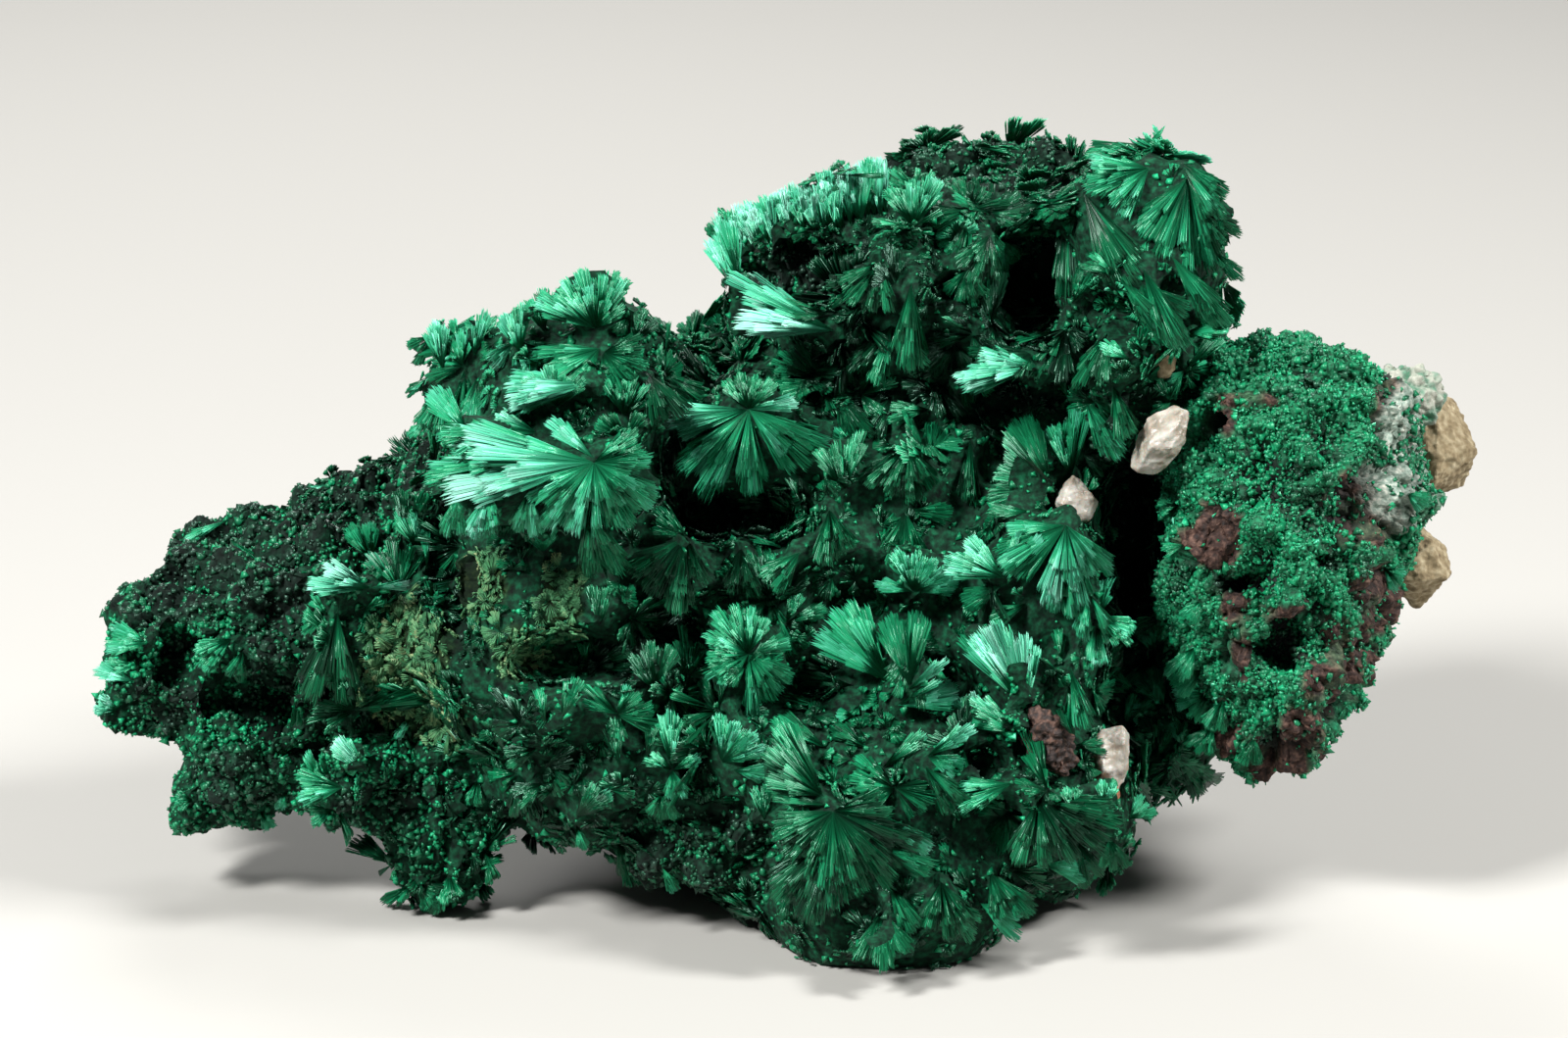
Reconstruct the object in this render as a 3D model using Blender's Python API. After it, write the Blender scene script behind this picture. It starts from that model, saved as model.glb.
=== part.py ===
"""A hand specimen of fibrous malachite, 70 mm wide: fans of fine green needles grown on a knobbly malachite
mass, with a lump of limonite matrix on its right under a sparkling green crust, and grains of quartz,
sandstone and limonite caught between them.

Units: the tables below are in millimetres and degrees. The model itself is in metres, +Z up, with the
origin in the flat broken face that the specimen rests on, +X to its right and +Y away from its best face.

Places are read off the best face as a person sees it: millimetres across from its middle and up from its
lowest point, in a plane square to the line of sight, and then how far behind that plane the place lies."""

import math
import random

import bmesh
import bpy
from mathutils import Matrix, Vector, noise
from mathutils.bvhtree import BVHTree

MM = 0.001

# The line of sight: how far the eye stands off, how much it looks down, and where it meets the specimen
EYE_DISTANCE = 304.5
LOOK_DOWN = math.radians(15)
SIGHT_UP = 23.9
SIGHT_CENTRE = Vector((0.0, -6.0, 20.4))

# How finely each solid is worked, and how many triangles it keeps
ROUGH_GRID = 0.6
FINE_GRID = 0.42
MASS_TRIANGLES = 6300
MATRIX_TRIANGLES = 1300
GRAIN_TRIANGLES = 110

# The gap between two solids that touch
SEAM = 0.34

# Seeds for the mass, the matrix and the first of the grains, and for the step and the slope of each ledge
MASS_SEED = 7
MATRIX_SEED = 9
GRAIN_SEED = 3
STEP_SEED = 7.3
SLOPE_SEED = 3.1

# Relief: height of the knobs, their width, and height of the broken ledges on the hidden side
MASS_RELIEF = (0.75, 3.0, 1.7)
MATRIX_RELIEF = (0.7, 2.6, 1.0)

# How much of the knobs' height goes to the knobs themselves, to the slow swell under them and to the grit on
# them, and how long the swell and the grit are beside a knob
KNOB_SHARE = 1.1
SWELL_SHARE = 0.9
GRIT_SHARE = 0.35
SWELL_FREQUENCY = 0.35
GRIT_FREQUENCY = 2.3

# A ledge's length beside a knob, its step, its slope, and how much of the knobs is lost among the ledges.
# Ledges begin where the surface has turned this far from the eye and are full soon after
LEDGE_FREQUENCY = 0.45
LEDGE_STEP = 1.2
LEDGE_SLOPE = 1.6
KNOBS_LOST = 0.6
LEDGES_BEGIN = 0.3
LEDGES_GAIN = 2.5

# A hollow is pressed into what faces the eye at least this squarely, out to this many of its half widths,
# with sides this steep
HOLLOW_FACING = 0.25
HOLLOW_RIM = 1.25
HOLLOW_SIDES = 1.6

# A fan: its roll about its own axis, the angle of one rib, how ragged its end is, the height of its ribs and
# furrows, half its thickness at the start, and at the end for each millimetre of length with what is added
FAN_ROLL = 22
RIB_ANGLE = 16
RAGGED_END = (0.86, 1.04)
RIB_HEIGHT = 0.22
FURROW_DEPTH = 0.12
START_HALF = 0.26
END_HALF = (0.09, 0.32)
UNDERSIDE_REACH = 0.9
FAN_ROOT = 0.2

# The hub under each group of fans: half its depth for each millimetre that the group stands out, with what is
# added, and how wide it is beside that. Past the mass's edge a group starts this far behind the middle plane
HUB_HALF = (0.45, 0.5)
HUB_WIDTH = 0.8
EDGE_DEPTH = 6.0

# A grain's blunt corners: how close they are, how far they stand out, and how much is taken off between them
CORNER_FREQUENCY = 1.3
CORNER_HEIGHT = 0.5
CORNER_LOSS = 0.22

FORWARD = Vector((0, math.cos(LOOK_DOWN), -math.sin(LOOK_DOWN)))
UPWARD = Vector((0, math.sin(LOOK_DOWN), math.cos(LOOK_DOWN)))
RIGHT = Vector((1, 0, 0))
VIEW_AXES = Matrix.Rotation(-LOOK_DOWN, 4, "X")

# Lumps of the main mass: across, up, behind, then half width, half height, half depth
MASS_LUMPS = [
    (1, 21, 9, 15.5, 13, 12.5),
    (-4, 23, 18, 8.5, 8.5, 8),
    (9, 20, 18, 9, 8, 8),
    (3, 27, 19, 9, 6, 7),
    (2, 16, 15, 10, 6, 8),
    (14, 25, 16, 7, 7, 7),
    (4, 10, 4, 11, 7.6, 10.5),
    (5.2, 4.2, -2.5, 6.2, 4.0, 5.8),
    (12.5, 9.8, 2, 5.6, 5.6, 7.5),
    (12, 19, 3, 5.2, 8, 8),
    (13, 27.5, 8, 5, 4.4, 6),
    (-10, 27, 2, 7.8, 8.4, 8.5),
    (-15, 30.3, 4, 3.6, 3.4, 5),
    (-11, 18, 1, 8.5, 7, 8),
    (-4, 29.5, 8, 5, 4.2, 7),
    (9, 35, 7, 12, 6.6, 8.5),
    (1.5, 37.4, 9.5, 5.2, 2.2, 4),
    (10.3, 40.8, 12, 6.7, 2.6, 5),
    (18.3, 37.6, 4.5, 4.6, 5.2, 6),
    (18.3, 32, 5, 4.6, 4.6, 7),
    (-18.4, 22.6, 8, 4, 4, 6),
    (-23, 17.5, 6, 8.6, 6.4, 8),
    (-30.6, 16.3, 7, 4.6, 4.6, 5.5),
    (-32.4, 18.5, 7, 2.5, 2.9, 4),
    (-34.1, 14.3, 6, 1.6, 1.6, 2.5),
    (-29.5, 10.0, 6, 2.0, 2.2, 3.5),
    (-27, 22.5, 9, 5.0, 2.4, 5),
    (-21.5, 24.3, 10, 4.6, 2.5, 5),
    (-17, 26.2, 10, 3.8, 2.6, 5),
    (-20.6, 26.2, 10, 2.0, 1.8, 4),
    (-26.5, 12.2, 6, 5.2, 3.8, 6),
    (-20, 10.8, 5, 5.6, 3.9, 6),
    (-17.6, 8.4, 4.4, 3.4, 2.8, 4),
    (-17.9, 6.2, 3.4, 2.7, 2.3, 3),
    (-8, 10.8, 3, 7, 4.0, 7.5),
    (-4, 8, 2, 4.6, 3.4, 6.5),
    (18.6, 21, 12, 5.4, 8, 7),
    (18, 12.6, 9, 4.2, 3.4, 6),
]

# The broken base, in the model's own axes: two bosses that the ground plane cuts off flat
BASE_BOSSES = [((4.5, 0, 4.5), (11.5, 9.5, 8)), ((4.7, -12, 3), (5.6, 6.5, 4.5))]
GROUND_BLOCK = (Vector((0, 0, -10)), Vector((120, 120, 20)))

# Hollows in the mass: across, up, half width, half height, depth
MASS_HOLLOWS = [
    (-5.4, 27, 1.5, 3.4, 4.5),
    (-1.8, 24, 3, 1.5, 4.5),
    (-11, 16.6, 3, 1.5, 4),
    (-6.4, 18.2, 2.6, 1.0, 3),
    (0.4, 36.0, 3.2, 1.4, 4),
    (4.6, 34.0, 1.8, 1.0, 3),
    (12.6, 36.2, 2.4, 2.8, 5.5),
    (7.8, 38.4, 0.9, 0.9, 2),
    (8.2, 15.4, 1.3, 1.2, 3),
    (3.7, 19.2, 1.6, 1.1, 2.5),
    (-27.2, 14.8, 2.2, 1.3, 3.5),
    (-31.0, 17.0, 1.0, 1.5, 2),
    (-23.0, 16.2, 0.9, 2.0, 2.5),
    (-24.6, 19.6, 1.5, 1.2, 2),
    (4.2, 6.2, 2.0, 1.2, 2.5),
    (1.6, 15.6, 1.1, 1.1, 2),
    (-17.2, 20.8, 1.1, 2.2, 3),
    (10.2, 11.2, 1.3, 1.0, 2.5),
    (-3.8, 32.0, 1.9, 1.5, 3.5),
    (17.4, 22, 1.4, 4.2, 5),
    (-12.6, 31.0, 1.3, 0.8, 1.5),
]

# Fans of needles on the mass. Each group grows from one point: across, up, and how far it stands out.
# Each of its fans: heading in the best face (0 right, 90 up), opening angle, length, lift towards the eye
FANS = [
    ((-9.6, 33.6, 1.0), [(114, 100, 3.5, -5), (48, 36, 2.4, -5)]),
    ((-17.4, 31.5, 0.8), [(100, 35, 2.8, 0)]),
    ((-15.8, 32.2, 0.8), [(85, 40, 2.3, 0)]),
    ((-13.5, 32.3, 1.0), [(100, 50, 2.7, 0)]),
    ((-9.8, 30.8, 2.0), [(186, 32, 5.2, -8)]),
    ((-9.7, 26.8, 3.2), [(183, 50, 7.8, -12), (225, 45, 4.5, -25), (320, 55, 4.2, -25), (20, 60, 3.0, -30),
                         (275, 40, 4.0, -30)]),
    ((-15.0, 25.4, 2.5), [(262, 50, 2.6, -5)]),
    ((-13.0, 25.4, 2.2), [(265, 50, 2.6, -5)]),
    ((-13.8, 26.9, 2.4), [(190, 28, 4.4, -10)]),
    ((-19.3, 23.2, 1.0), [(80, 60, 2.6, 5)]),
    ((-17.3, 30.7, 1.0), [(250, 50, 3.0, -10)]),
    ((-14.8, 28.4, 1.0), [(200, 60, 3.0, -10)]),
    ((-7.6, 33.0, 0.5), [(60, 60, 1.8, 0)]),
    ((-7.0, 31.4, 1.0), [(300, 60, 3.0, 0)]),
    ((-12.3, 22.3, 1.0), [(90, 80, 2.2, 20)]),
    ((-10.0, 24.4, 1.5), [(285, 50, 3.6, -10)]),
    ((-5.0, 23.0, 1.5), [(238, 75, 4.3, -10), (290, 25, 3.0, -10), (150, 60, 2.2, -10)]),
    ((-2.2, 22.4, 1.5), [(272, 60, 2.6, -10)]),
    ((-1.8, 29.5, 3.6), [(190, 28, 4.2, -10), (8, 22, 2.8, -8), (322, 45, 4.4, -20), (90, 110, 2.3, -25),
                         (232, 40, 5.0, -28), (270, 25, 4.4, -35)]),
    ((-6.6, 15.1, 0.8), [(95, 80, 2.6, 10)]),
    ((-11.4, 13.6, 1.2), [(68, 28, 2.6, 20)]),
    ((-12.2, 13.4, 1.0), [(100, 25, 2.0, 15)]),
    ((-5.7, 11.1, 1.0), [(93, 30, 2.9, 15), (25, 30, 1.6, 15), (150, 40, 1.6, 15), (280, 60, 1.8, 0)]),
    ((-1.8, 17.0, 2.6), [(125, 50, 2.8, -15), (190, 45, 2.2, -15), (60, 60, 2.4, -20), (350, 60, 2.4, -20),
                         (240, 50, 2.8, -20), (290, 50, 2.4, -25)]),
    ((-3.2, 11.6, 1.6), [(62, 78, 3.0, 5)]),
    ((-2.8, 10.9, 1.2), [(350, 50, 2.2, 0)]),
    ((2.0, 9.8, 1.5), [(132, 40, 4.4, 0), (165, 30, 3.6, 0)]),
    ((2.5, 9.0, 2.0), [(200, 35, 3.4, -12), (235, 40, 4.0, -12), (268, 35, 5.0, -12), (300, 40, 5.2, -12),
                       (330, 40, 5.0, -12), (10, 40, 3.0, -8)]),
    ((-8.4, 11.3, 1.0), [(100, 30, 2.4, 10)]),
    ((-7.0, 11.7, 1.0), [(80, 25, 2.2, 10)]),
    ((-12.6, 12.2, 0.8), [(200, 50, 2.0, 0)]),
    ((-12.3, 10.4, 0.8), [(210, 60, 2.0, 0)]),
    ((-10.6, 8.7, 0.8), [(45, 60, 2.0, 0)]),
    ((2.6, 33.5, 3.4), [(153, 16, 6.1, -4), (174, 20, 6.0, -8)]),
    ((6.6, 38.8, 1.6), [(92, 85, 2.8, -5), (172, 14, 2.2, 0)]),
    ((4.9, 37.0, 1.8), [(245, 95, 2.7, -15)]),
    ((6.5, 36.0, 2.0), [(268, 26, 4.4, -12)]),
    ((5.5, 33.8, 2.0), [(240, 50, 3.4, -12), (300, 40, 3.0, -12)]),
    ((12.9, 31.7, 2.6), [(170, 30, 3.4, -5), (192, 22, 5.0, -10)]),
    ((6.3, 27.6, 1.6), [(262, 110, 3.0, -12)]),
    ((9.5, 28.0, 2.0), [(268, 22, 4.2, -5)]),
    ((13.7, 25.6, 1.6), [(165, 80, 3.4, 5)]),
    ((6.7, 20.1, 1.2), [(75, 105, 3.2, 20)]),
    ((11.1, 20.9, 1.6), [(150, 70, 2.6, 5)]),
    ((14.4, 23.6, 2.0), [(215, 38, 4.2, -5), (185, 20, 3.6, -5), (268, 45, 4.6, -8), (305, 40, 3.8, -12)]),
    ((14.6, 25.9, 1.6), [(97, 50, 3.6, 0)]),
    ((15.3, 30.2, 1.8), [(300, 30, 4.4, -3)]),
    ((15.6, 20.1, 1.6), [(255, 22, 2.6, -5), (302, 18, 3.0, -5)]),
    ((7.4, 29.5, 1.6), [(185, 40, 2.4, -5)]),
    ((3.1, 25.4, 1.0), [(100, 70, 3.0, -5)]),
    ((2.3, 24.4, 1.0), [(280, 60, 3.0, -8)]),
    ((0.8, 22.2, 1.6), [(225, 55, 2.6, -8)]),
    ((18.6, 41.8, 2.0), [(185, 50, 3.5, -8), (232, 40, 3.2, -10)]),
    ((18.3, 43.0, 1.2), [(190, 25, 3.0, -5)]),
    ((20.6, 41.3, 2.6), [(232, 34, 4.2, -10), (262, 32, 5.8, -12), (285, 18, 5.0, -14)]),
    ((15.3, 40.5, 2.0), [(297, 36, 5.0, -10)]),
    ((14.5, 41.0, 1.6), [(269, 18, 5.8, -10)]),
    ((14.7, 34.9, 2.6), [(66, 40, 1.9, 10)]),
    ((17.0, 36.3, 2.2), [(150, 45, 2.0, -5), (312, 26, 4.6, -8)]),
    ((18.3, 36.7, 2.4), [(296, 26, 4.6, -8)]),
    ((19.8, 37.3, 2.2), [(306, 24, 5.2, -10)]),
    ((20.8, 36.9, 1.6), [(290, 24, 3.6, -15)]),
    ((17.7, 32.0, 2.4), [(150, 30, 1.8, 0)]),
    ((16.8, 30.7, 1.8), [(285, 35, 3.4, -8)]),
    ((21.3, 40.4, 1.0), [(320, 50, 2.8, -20)]),
    ((16.5, 33.4, 1.6), [(250, 50, 3.2, -8)]),
    ((10.5, 38.4, 1.0), [(250, 80, 2.6, -5)]),
    ((12.3, 14.7, 2.0), [(118, 34, 5.0, 0), (90, 26, 3.4, 0)]),
    ((5.5, 15.5, 1.4), [(112, 40, 3.2, 5), (72, 50, 3.2, 10)]),
    ((5.7, 14.4, 1.8), [(42, 42, 3.2, 8)]),
    ((12.0, 13.0, 1.8), [(152, 40, 3.2, 0)]),
    ((14.6, 16.3, 2.0), [(282, 32, 3.2, -5)]),
    ((7.1, 11.4, 2.0), [(36, 40, 2.8, 0), (312, 45, 3.0, -5)]),
    ((11.6, 10.4, 2.0), [(196, 44, 3.2, -5)]),
    ((13.0, 9.6, 2.4), [(250, 28, 3.8, -15), (275, 24, 3.9, -15), (300, 26, 3.8, -15), (335, 40, 4.8, -10),
                        (8, 30, 4.4, -10)]),
    ((15.0, 7.4, 1.0), [(290, 60, 2.4, -10)]),
    ((8.0, 5.4, 1.0), [(280, 80, 3.0, -10)]),
    ((10.5, 5.9, 1.0), [(300, 60, 3.0, -10)]),
    ((5.0, 3.9, 1.2), [(270, 90, 3.0, 5)]),
    ((18.0, 15.0, 1.0), [(150, 50, 1.9, -5)]),
    ((-32.9, 15.1, 0.6), [(175, 50, 2.0, -10)]),
    ((-33.0, 17.4, 0.6), [(200, 60, 1.6, -15)]),
    ((-21.1, 20.4, 2.0), [(165, 48, 3.5, 0), (5, 16, 2.3, 0)]),
    ((-21.2, 10.9, 1.4), [(135, 30, 2.6, 0)]),
    ((-22.5, 10.2, 1.6), [(178, 60, 2.8, 0)]),
    ((-22.8, 19.2, 1.2), [(262, 45, 5.0, -10)]),
]

# The crest's curtain of fans, side by side along its foot: across, up and heading of each
CREST_FANS = [(-2.5, 36.9, 104), (-1.4, 36.9, 104), (-0.3, 37.5, 103), (0.8, 38.3, 102), (1.8, 39.1, 100),
              (3.0, 39.7, 98), (4.1, 40.0, 96)]
CREST_RAISED = 1.0
CREST_OPENING = 34
CREST_LENGTH = 2.4

# The limonite matrix on the right: its lumps and hollows, as for the mass
MATRIX_LUMPS = [
    (25.4, 23.4, 1.5, 6.0, 8.4, 7.6),
    (25.0, 29.0, 3, 5.6, 4.6, 7),
    (29.2, 28.2, 4, 3.4, 3.4, 5),
    (25.2, 15.0, 2.5, 3.9, 4.2, 6),
    (24.0, 13.6, 2.5, 3.0, 2.4, 4),
    (26.9, 18.0, 3.5, 3.5, 5.0, 6),
    (28.7, 19.4, 4.2, 2.8, 2.8, 4),
    (29.9, 24.6, 4.5, 3.4, 4.8, 6),
    (22.6, 21.0, 0.5, 3.5, 5.6, 5.5),
    (24.8, 17.4, 1.2, 4.4, 4.8, 6.0),
    (21.6, 25.4, 2, 2.4, 4.0, 5),
]
MATRIX_HOLLOWS = [
    (21.8, 28.6, 0.9, 0.7, 2.2),
    (25.6, 17.2, 1.1, 1.5, 1.6),
    (22.5, 22.6, 0.8, 1.2, 0.8),
    (28.8, 22.4, 0.8, 2.4, 0.9),
]

# Grains caught in the surface: node name, across, up, half sizes, turn in the best face, how much of its
# half depth is sunk, and the depth behind the middle plane where the surface doesn't give it
GRAINS = [
    ("quartz_grain_upper", 19.2, 27.9, (1.15, 1.95, 1.3), -35, 0.2, -2.6),
    ("quartz_grain_middle", 14.9, 24.8, (1.1, 1.2, 1.1), 10, -1.6, None),
    ("quartz_grain_lower", 16.6, 11.6, (1.15, 1.7, 1.2), -10, 0.0, None),
    ("limonite_crumb", 13.5, 12.6, (1.3, 1.8, 1.1), 20, -0.6, None),
    ("sandstone_grain_small", 19.4, 32.0, (0.6, 1.0, 0.7), 0, -0.1, None),
    ("sandstone_pebble_upper", 33.3, 27.6, (2.1, 2.9, 2.6), 4, 0, 9.5),
    ("sandstone_pebble_lower", 32.3, 21.4, (1.9, 2.2, 2.2), 0, 0, 7.5),
    ("quartz_crust", 31.6, 30.0, (2.1, 1.8, 2.2), 30, 0, 5.6),
]


def seen_at(across, up, behind):
    """The point, in millimetres, that shows at this place in the best face at this depth behind its plane."""
    reach = (EYE_DISTANCE + behind) / EYE_DISTANCE
    return SIGHT_CENTRE + FORWARD * behind + (RIGHT * across + UPWARD * (up - SIGHT_UP)) * reach


def in_view(point):
    """Across, up and behind of a point: the reverse of seen_at."""
    offset = point - SIGHT_CENTRE
    behind = offset.dot(FORWARD)
    reach = (EYE_DISTANCE + behind) / EYE_DISTANCE
    return offset.dot(RIGHT) / reach, offset.dot(UPWARD) / reach + SIGHT_UP, behind


def surface_depth(tree, across, up):
    """How far behind the middle plane the sight line first meets the surface, or None past its edge."""
    start = seen_at(across, up, -60)
    hit = tree.ray_cast(start, (seen_at(across, up, 60) - start).normalized())[0]
    return None if hit is None else (hit - SIGHT_CENTRE).dot(FORWARD)


def new_object(name, mesh):
    obj = bpy.data.objects.new(name, mesh)
    bpy.context.scene.collection.objects.link(obj)
    return obj


def mesh_from(bm, name):
    mesh = bpy.data.meshes.new(name)
    bm.to_mesh(mesh)
    bm.free()
    return mesh


def add_lump(bm, centre, half_sizes, turn=0.0, axes=VIEW_AXES, rounds=3):
    """A rounded lump: a ball of triangles stretched to its half sizes, in the axes of the best face."""
    place = Matrix.Translation(centre) @ axes @ Matrix.Rotation(-math.radians(turn), 4, "Y")
    stretch = Matrix.Diagonal((half_sizes[0], half_sizes[2], half_sizes[1], 1))
    bmesh.ops.create_icosphere(bm, subdivisions=rounds, radius=1, matrix=place @ stretch)


def apply_modifier(obj, kind, **settings):
    """Adds one modifier, and bakes its result into the object's mesh."""
    modifier = obj.modifiers.new(kind.title(), kind)
    for setting, value in settings.items():
        setattr(modifier, setting, value)
    graph = bpy.context.evaluated_depsgraph_get()
    old = obj.data
    obj.data = bpy.data.meshes.new_from_object(obj.evaluated_get(graph))
    obj.modifiers.clear()
    bpy.data.meshes.remove(old)


def fuse(obj, grid):
    """Joins everything in the mesh into one skin, on a grid of this many millimetres."""
    apply_modifier(obj, "REMESH", mode="VOXEL", voxel_size=grid, use_smooth_shade=False)


def keep_largest_body(obj):
    """Drops loose crumbs and inner skins that fusing can leave."""
    bm = bmesh.new()
    bm.from_mesh(obj.data)
    left = set(bm.verts)
    bodies = []
    while left:
        stack = [left.pop()]
        body = list(stack)
        while stack:
            for edge in stack.pop().link_edges:
                for vert in edge.verts:
                    if vert in left:
                        left.discard(vert)
                        stack.append(vert)
                        body.append(vert)
        bodies.append(body)
    bodies.sort(key=len)
    for body in bodies[:-1]:
        bmesh.ops.delete(bm, geom=body, context="VERTS")
    bm.to_mesh(obj.data)
    bm.free()


def thin_out(obj, triangles):
    """Drops triangles where the surface is flattest, until about this many are left."""
    apply_modifier(obj, "TRIANGULATE")
    have = len(obj.data.polygons)
    if have > triangles:
        apply_modifier(obj, "DECIMATE", decimate_type="COLLAPSE", ratio=triangles / have,
                       use_collapse_triangulate=True)


def roughen(obj, relief, seed):
    """Knobs all over, as grown crusts have. Where the surface turns away from the eye, flat broken ledges with
    steps between them take their place."""
    height, width, ledges = relief
    noise.seed_set(seed)
    shift = Vector((13.1, 7.7, 3.3)) * seed
    moved = []
    for vert in obj.data.vertices:
        place = vert.co / width + shift
        knobs = KNOB_SHARE * (0.5 - noise.voronoi(place)[0][0])
        swell = SWELL_SHARE * noise.noise(place * SWELL_FREQUENCY)
        grit = GRIT_SHARE * noise.noise(place * GRIT_FREQUENCY)
        away = min(1.0, max(0.0, (vert.normal.dot(FORWARD) - LEDGES_BEGIN) * LEDGES_GAIN))
        ledge_place = place * LEDGE_FREQUENCY
        ledge_middle = noise.voronoi(ledge_place)[1][0]
        step = LEDGE_STEP * noise.cell(ledge_middle * STEP_SEED)
        slope = LEDGE_SLOPE * (ledge_place - ledge_middle).dot(noise.noise_vector(ledge_middle * SLOPE_SEED))
        rise = height * ((1 - KNOBS_LOST * away) * knobs + swell + grit) + ledges * away * (step + slope)
        moved.append(vert.co + vert.normal * rise)
    for vert, place in zip(obj.data.vertices, moved):
        vert.co = place


def press_hollows(obj, hollows):
    """Pushes the side that faces the eye inwards, deepest in the middle of each hollow."""
    for vert in obj.data.vertices:
        if vert.normal.dot(FORWARD) > HOLLOW_FACING:
            continue
        across, up, _ = in_view(vert.co)
        for mid_across, mid_up, half_width, half_height, depth in hollows:
            off = math.hypot((across - mid_across) / half_width, (up - mid_up) / half_height)
            if off < HOLLOW_RIM:
                vert.co += FORWARD * depth * min(1.0, (HOLLOW_RIM - off) * HOLLOW_SIDES)


def add_fan(bm, apex, heading, opening, length, lift, dice):
    """One closed wedge of needles: a ribbed fan, thin where it starts and ragged where it ends."""
    heading = math.radians(heading)
    lift = math.radians(lift)
    flat = RIGHT * math.cos(heading) + UPWARD * math.sin(heading)
    axis = flat * math.cos(lift) - FORWARD * math.sin(lift)
    roll = math.radians(dice.uniform(-FAN_ROLL, FAN_ROLL))
    side = (axis.cross(FORWARD)).normalized()
    side = side * math.cos(roll) + axis.cross(side) * math.sin(roll)
    face = axis.cross(side).normalized()
    steps = max(2, round(opening / RIB_ANGLE))
    end_half = END_HALF[0] * length + END_HALF[1]
    upper, lower = [], []
    for step in range(steps + 1):
        turn = math.radians(opening) * (step / steps - 0.5)
        ray = axis * math.cos(turn) + side * math.sin(turn)
        reach = length * dice.uniform(*RAGGED_END)
        rib = RIB_HEIGHT if step % 2 else -FURROW_DEPTH
        upper.append(bm.verts.new(apex + ray * reach + face * (end_half + rib)))
        lower.append(bm.verts.new(apex + ray * reach * UNDERSIDE_REACH - face * (end_half - rib / 2)))
    start_upper = bm.verts.new(apex + face * START_HALF - axis * FAN_ROOT)
    start_lower = bm.verts.new(apex - face * START_HALF - axis * FAN_ROOT)
    for step in range(steps):
        bm.faces.new((start_upper, upper[step], upper[step + 1]))
        bm.faces.new((start_lower, lower[step + 1], lower[step]))
        bm.faces.new((upper[step], lower[step], lower[step + 1], upper[step + 1]))
    bm.faces.new((start_upper, start_lower, lower[0], upper[0]))
    bm.faces.new((start_upper, upper[-1], lower[-1], start_lower))


def all_fans():
    """Every group of fans, the crest's curtain among them."""
    crest = [((across, up, CREST_RAISED), [(heading, CREST_OPENING, CREST_LENGTH, 0)])
             for across, up, heading in CREST_FANS]
    return FANS + crest


def add_fan_groups(bm, tree, dice):
    """Each group stands on a hub that joins its starting point to the mass below."""
    for (across, up, raised), fans in all_fans():
        depth = surface_depth(tree, across, up)
        if depth is None:
            depth = EDGE_DEPTH
        apex = seen_at(across, up, depth - raised)
        hub = HUB_HALF[0] * raised + HUB_HALF[1]
        hub_sizes = (hub * HUB_WIDTH, hub * HUB_WIDTH, hub)
        add_lump(bm, seen_at(across, up, depth - raised + hub), hub_sizes, rounds=2)
        for heading, opening, length, lift in fans:
            add_fan(bm, apex, heading, opening, length, lift, dice)


def cut(obj, cutter):
    """Takes the cutter's shape out of the object."""
    apply_modifier(obj, "BOOLEAN", operation="DIFFERENCE", object=cutter, solver="EXACT")


def remove(obj):
    mesh = obj.data
    bpy.data.objects.remove(obj)
    bpy.data.meshes.remove(mesh)


def grown(obj, by):
    """A copy of the object whose skin stands out this much further, to cut the seat that the object lies in."""
    copy = new_object(obj.name + "_seat", obj.data.copy())
    for vert in copy.data.vertices:
        vert.co += obj.data.vertices[vert.index].normal * by
    return copy


def lump_body(name, lumps, hollows, relief, seed):
    """One fused body of lumps, roughened, with its hollows pressed in."""
    bm = bmesh.new()
    for across, up, behind, *half_sizes in lumps:
        add_lump(bm, seen_at(across, up, behind), half_sizes)
    obj = new_object(name, mesh_from(bm, name))
    fuse(obj, ROUGH_GRID)
    roughen(obj, relief, seed)
    press_hollows(obj, hollows)
    return obj


def make_mass():
    """The main malachite mass, with its fans, before it is cut."""
    obj = lump_body("malachite_mass", MASS_LUMPS, MASS_HOLLOWS, MASS_RELIEF, MASS_SEED)
    tree = BVHTree.FromObject(obj, bpy.context.evaluated_depsgraph_get())
    bm = bmesh.new()
    bm.from_mesh(obj.data)
    for centre, half_sizes in BASE_BOSSES:
        add_lump(bm, Vector(centre), half_sizes, axes=Matrix.Identity(4))
    add_fan_groups(bm, tree, random.Random(MASS_SEED))
    bm.to_mesh(obj.data)
    bm.free()
    fuse(obj, FINE_GRID)
    keep_largest_body(obj)
    thin_out(obj, MASS_TRIANGLES)
    return obj


def make_matrix():
    """The limonite lump on the right."""
    obj = lump_body("limonite_matrix", MATRIX_LUMPS, MATRIX_HOLLOWS, MATRIX_RELIEF, MATRIX_SEED)
    fuse(obj, ROUGH_GRID)
    keep_largest_body(obj)
    thin_out(obj, MATRIX_TRIANGLES)
    return obj


def make_grain(name, across, up, half_sizes, turn, sunk, behind, tree, seed):
    """One grain, with the blunt corners of broken stone."""
    if behind is None:
        behind = surface_depth(tree, across, up) + half_sizes[2] * sunk
    bm = bmesh.new()
    add_lump(bm, seen_at(across, up, behind), half_sizes, turn=turn)
    obj = new_object(name, mesh_from(bm, name))
    centre = seen_at(across, up, behind)
    for vert in obj.data.vertices:
        out = (vert.co - centre).normalized()
        corner = noise.voronoi(out * CORNER_FREQUENCY + Vector((1, 2.2, 0)) * seed)[0][0]
        vert.co += out * min(half_sizes) * (CORNER_HEIGHT * corner - CORNER_LOSS)
    thin_out(obj, GRAIN_TRIANGLES)
    return obj


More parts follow.
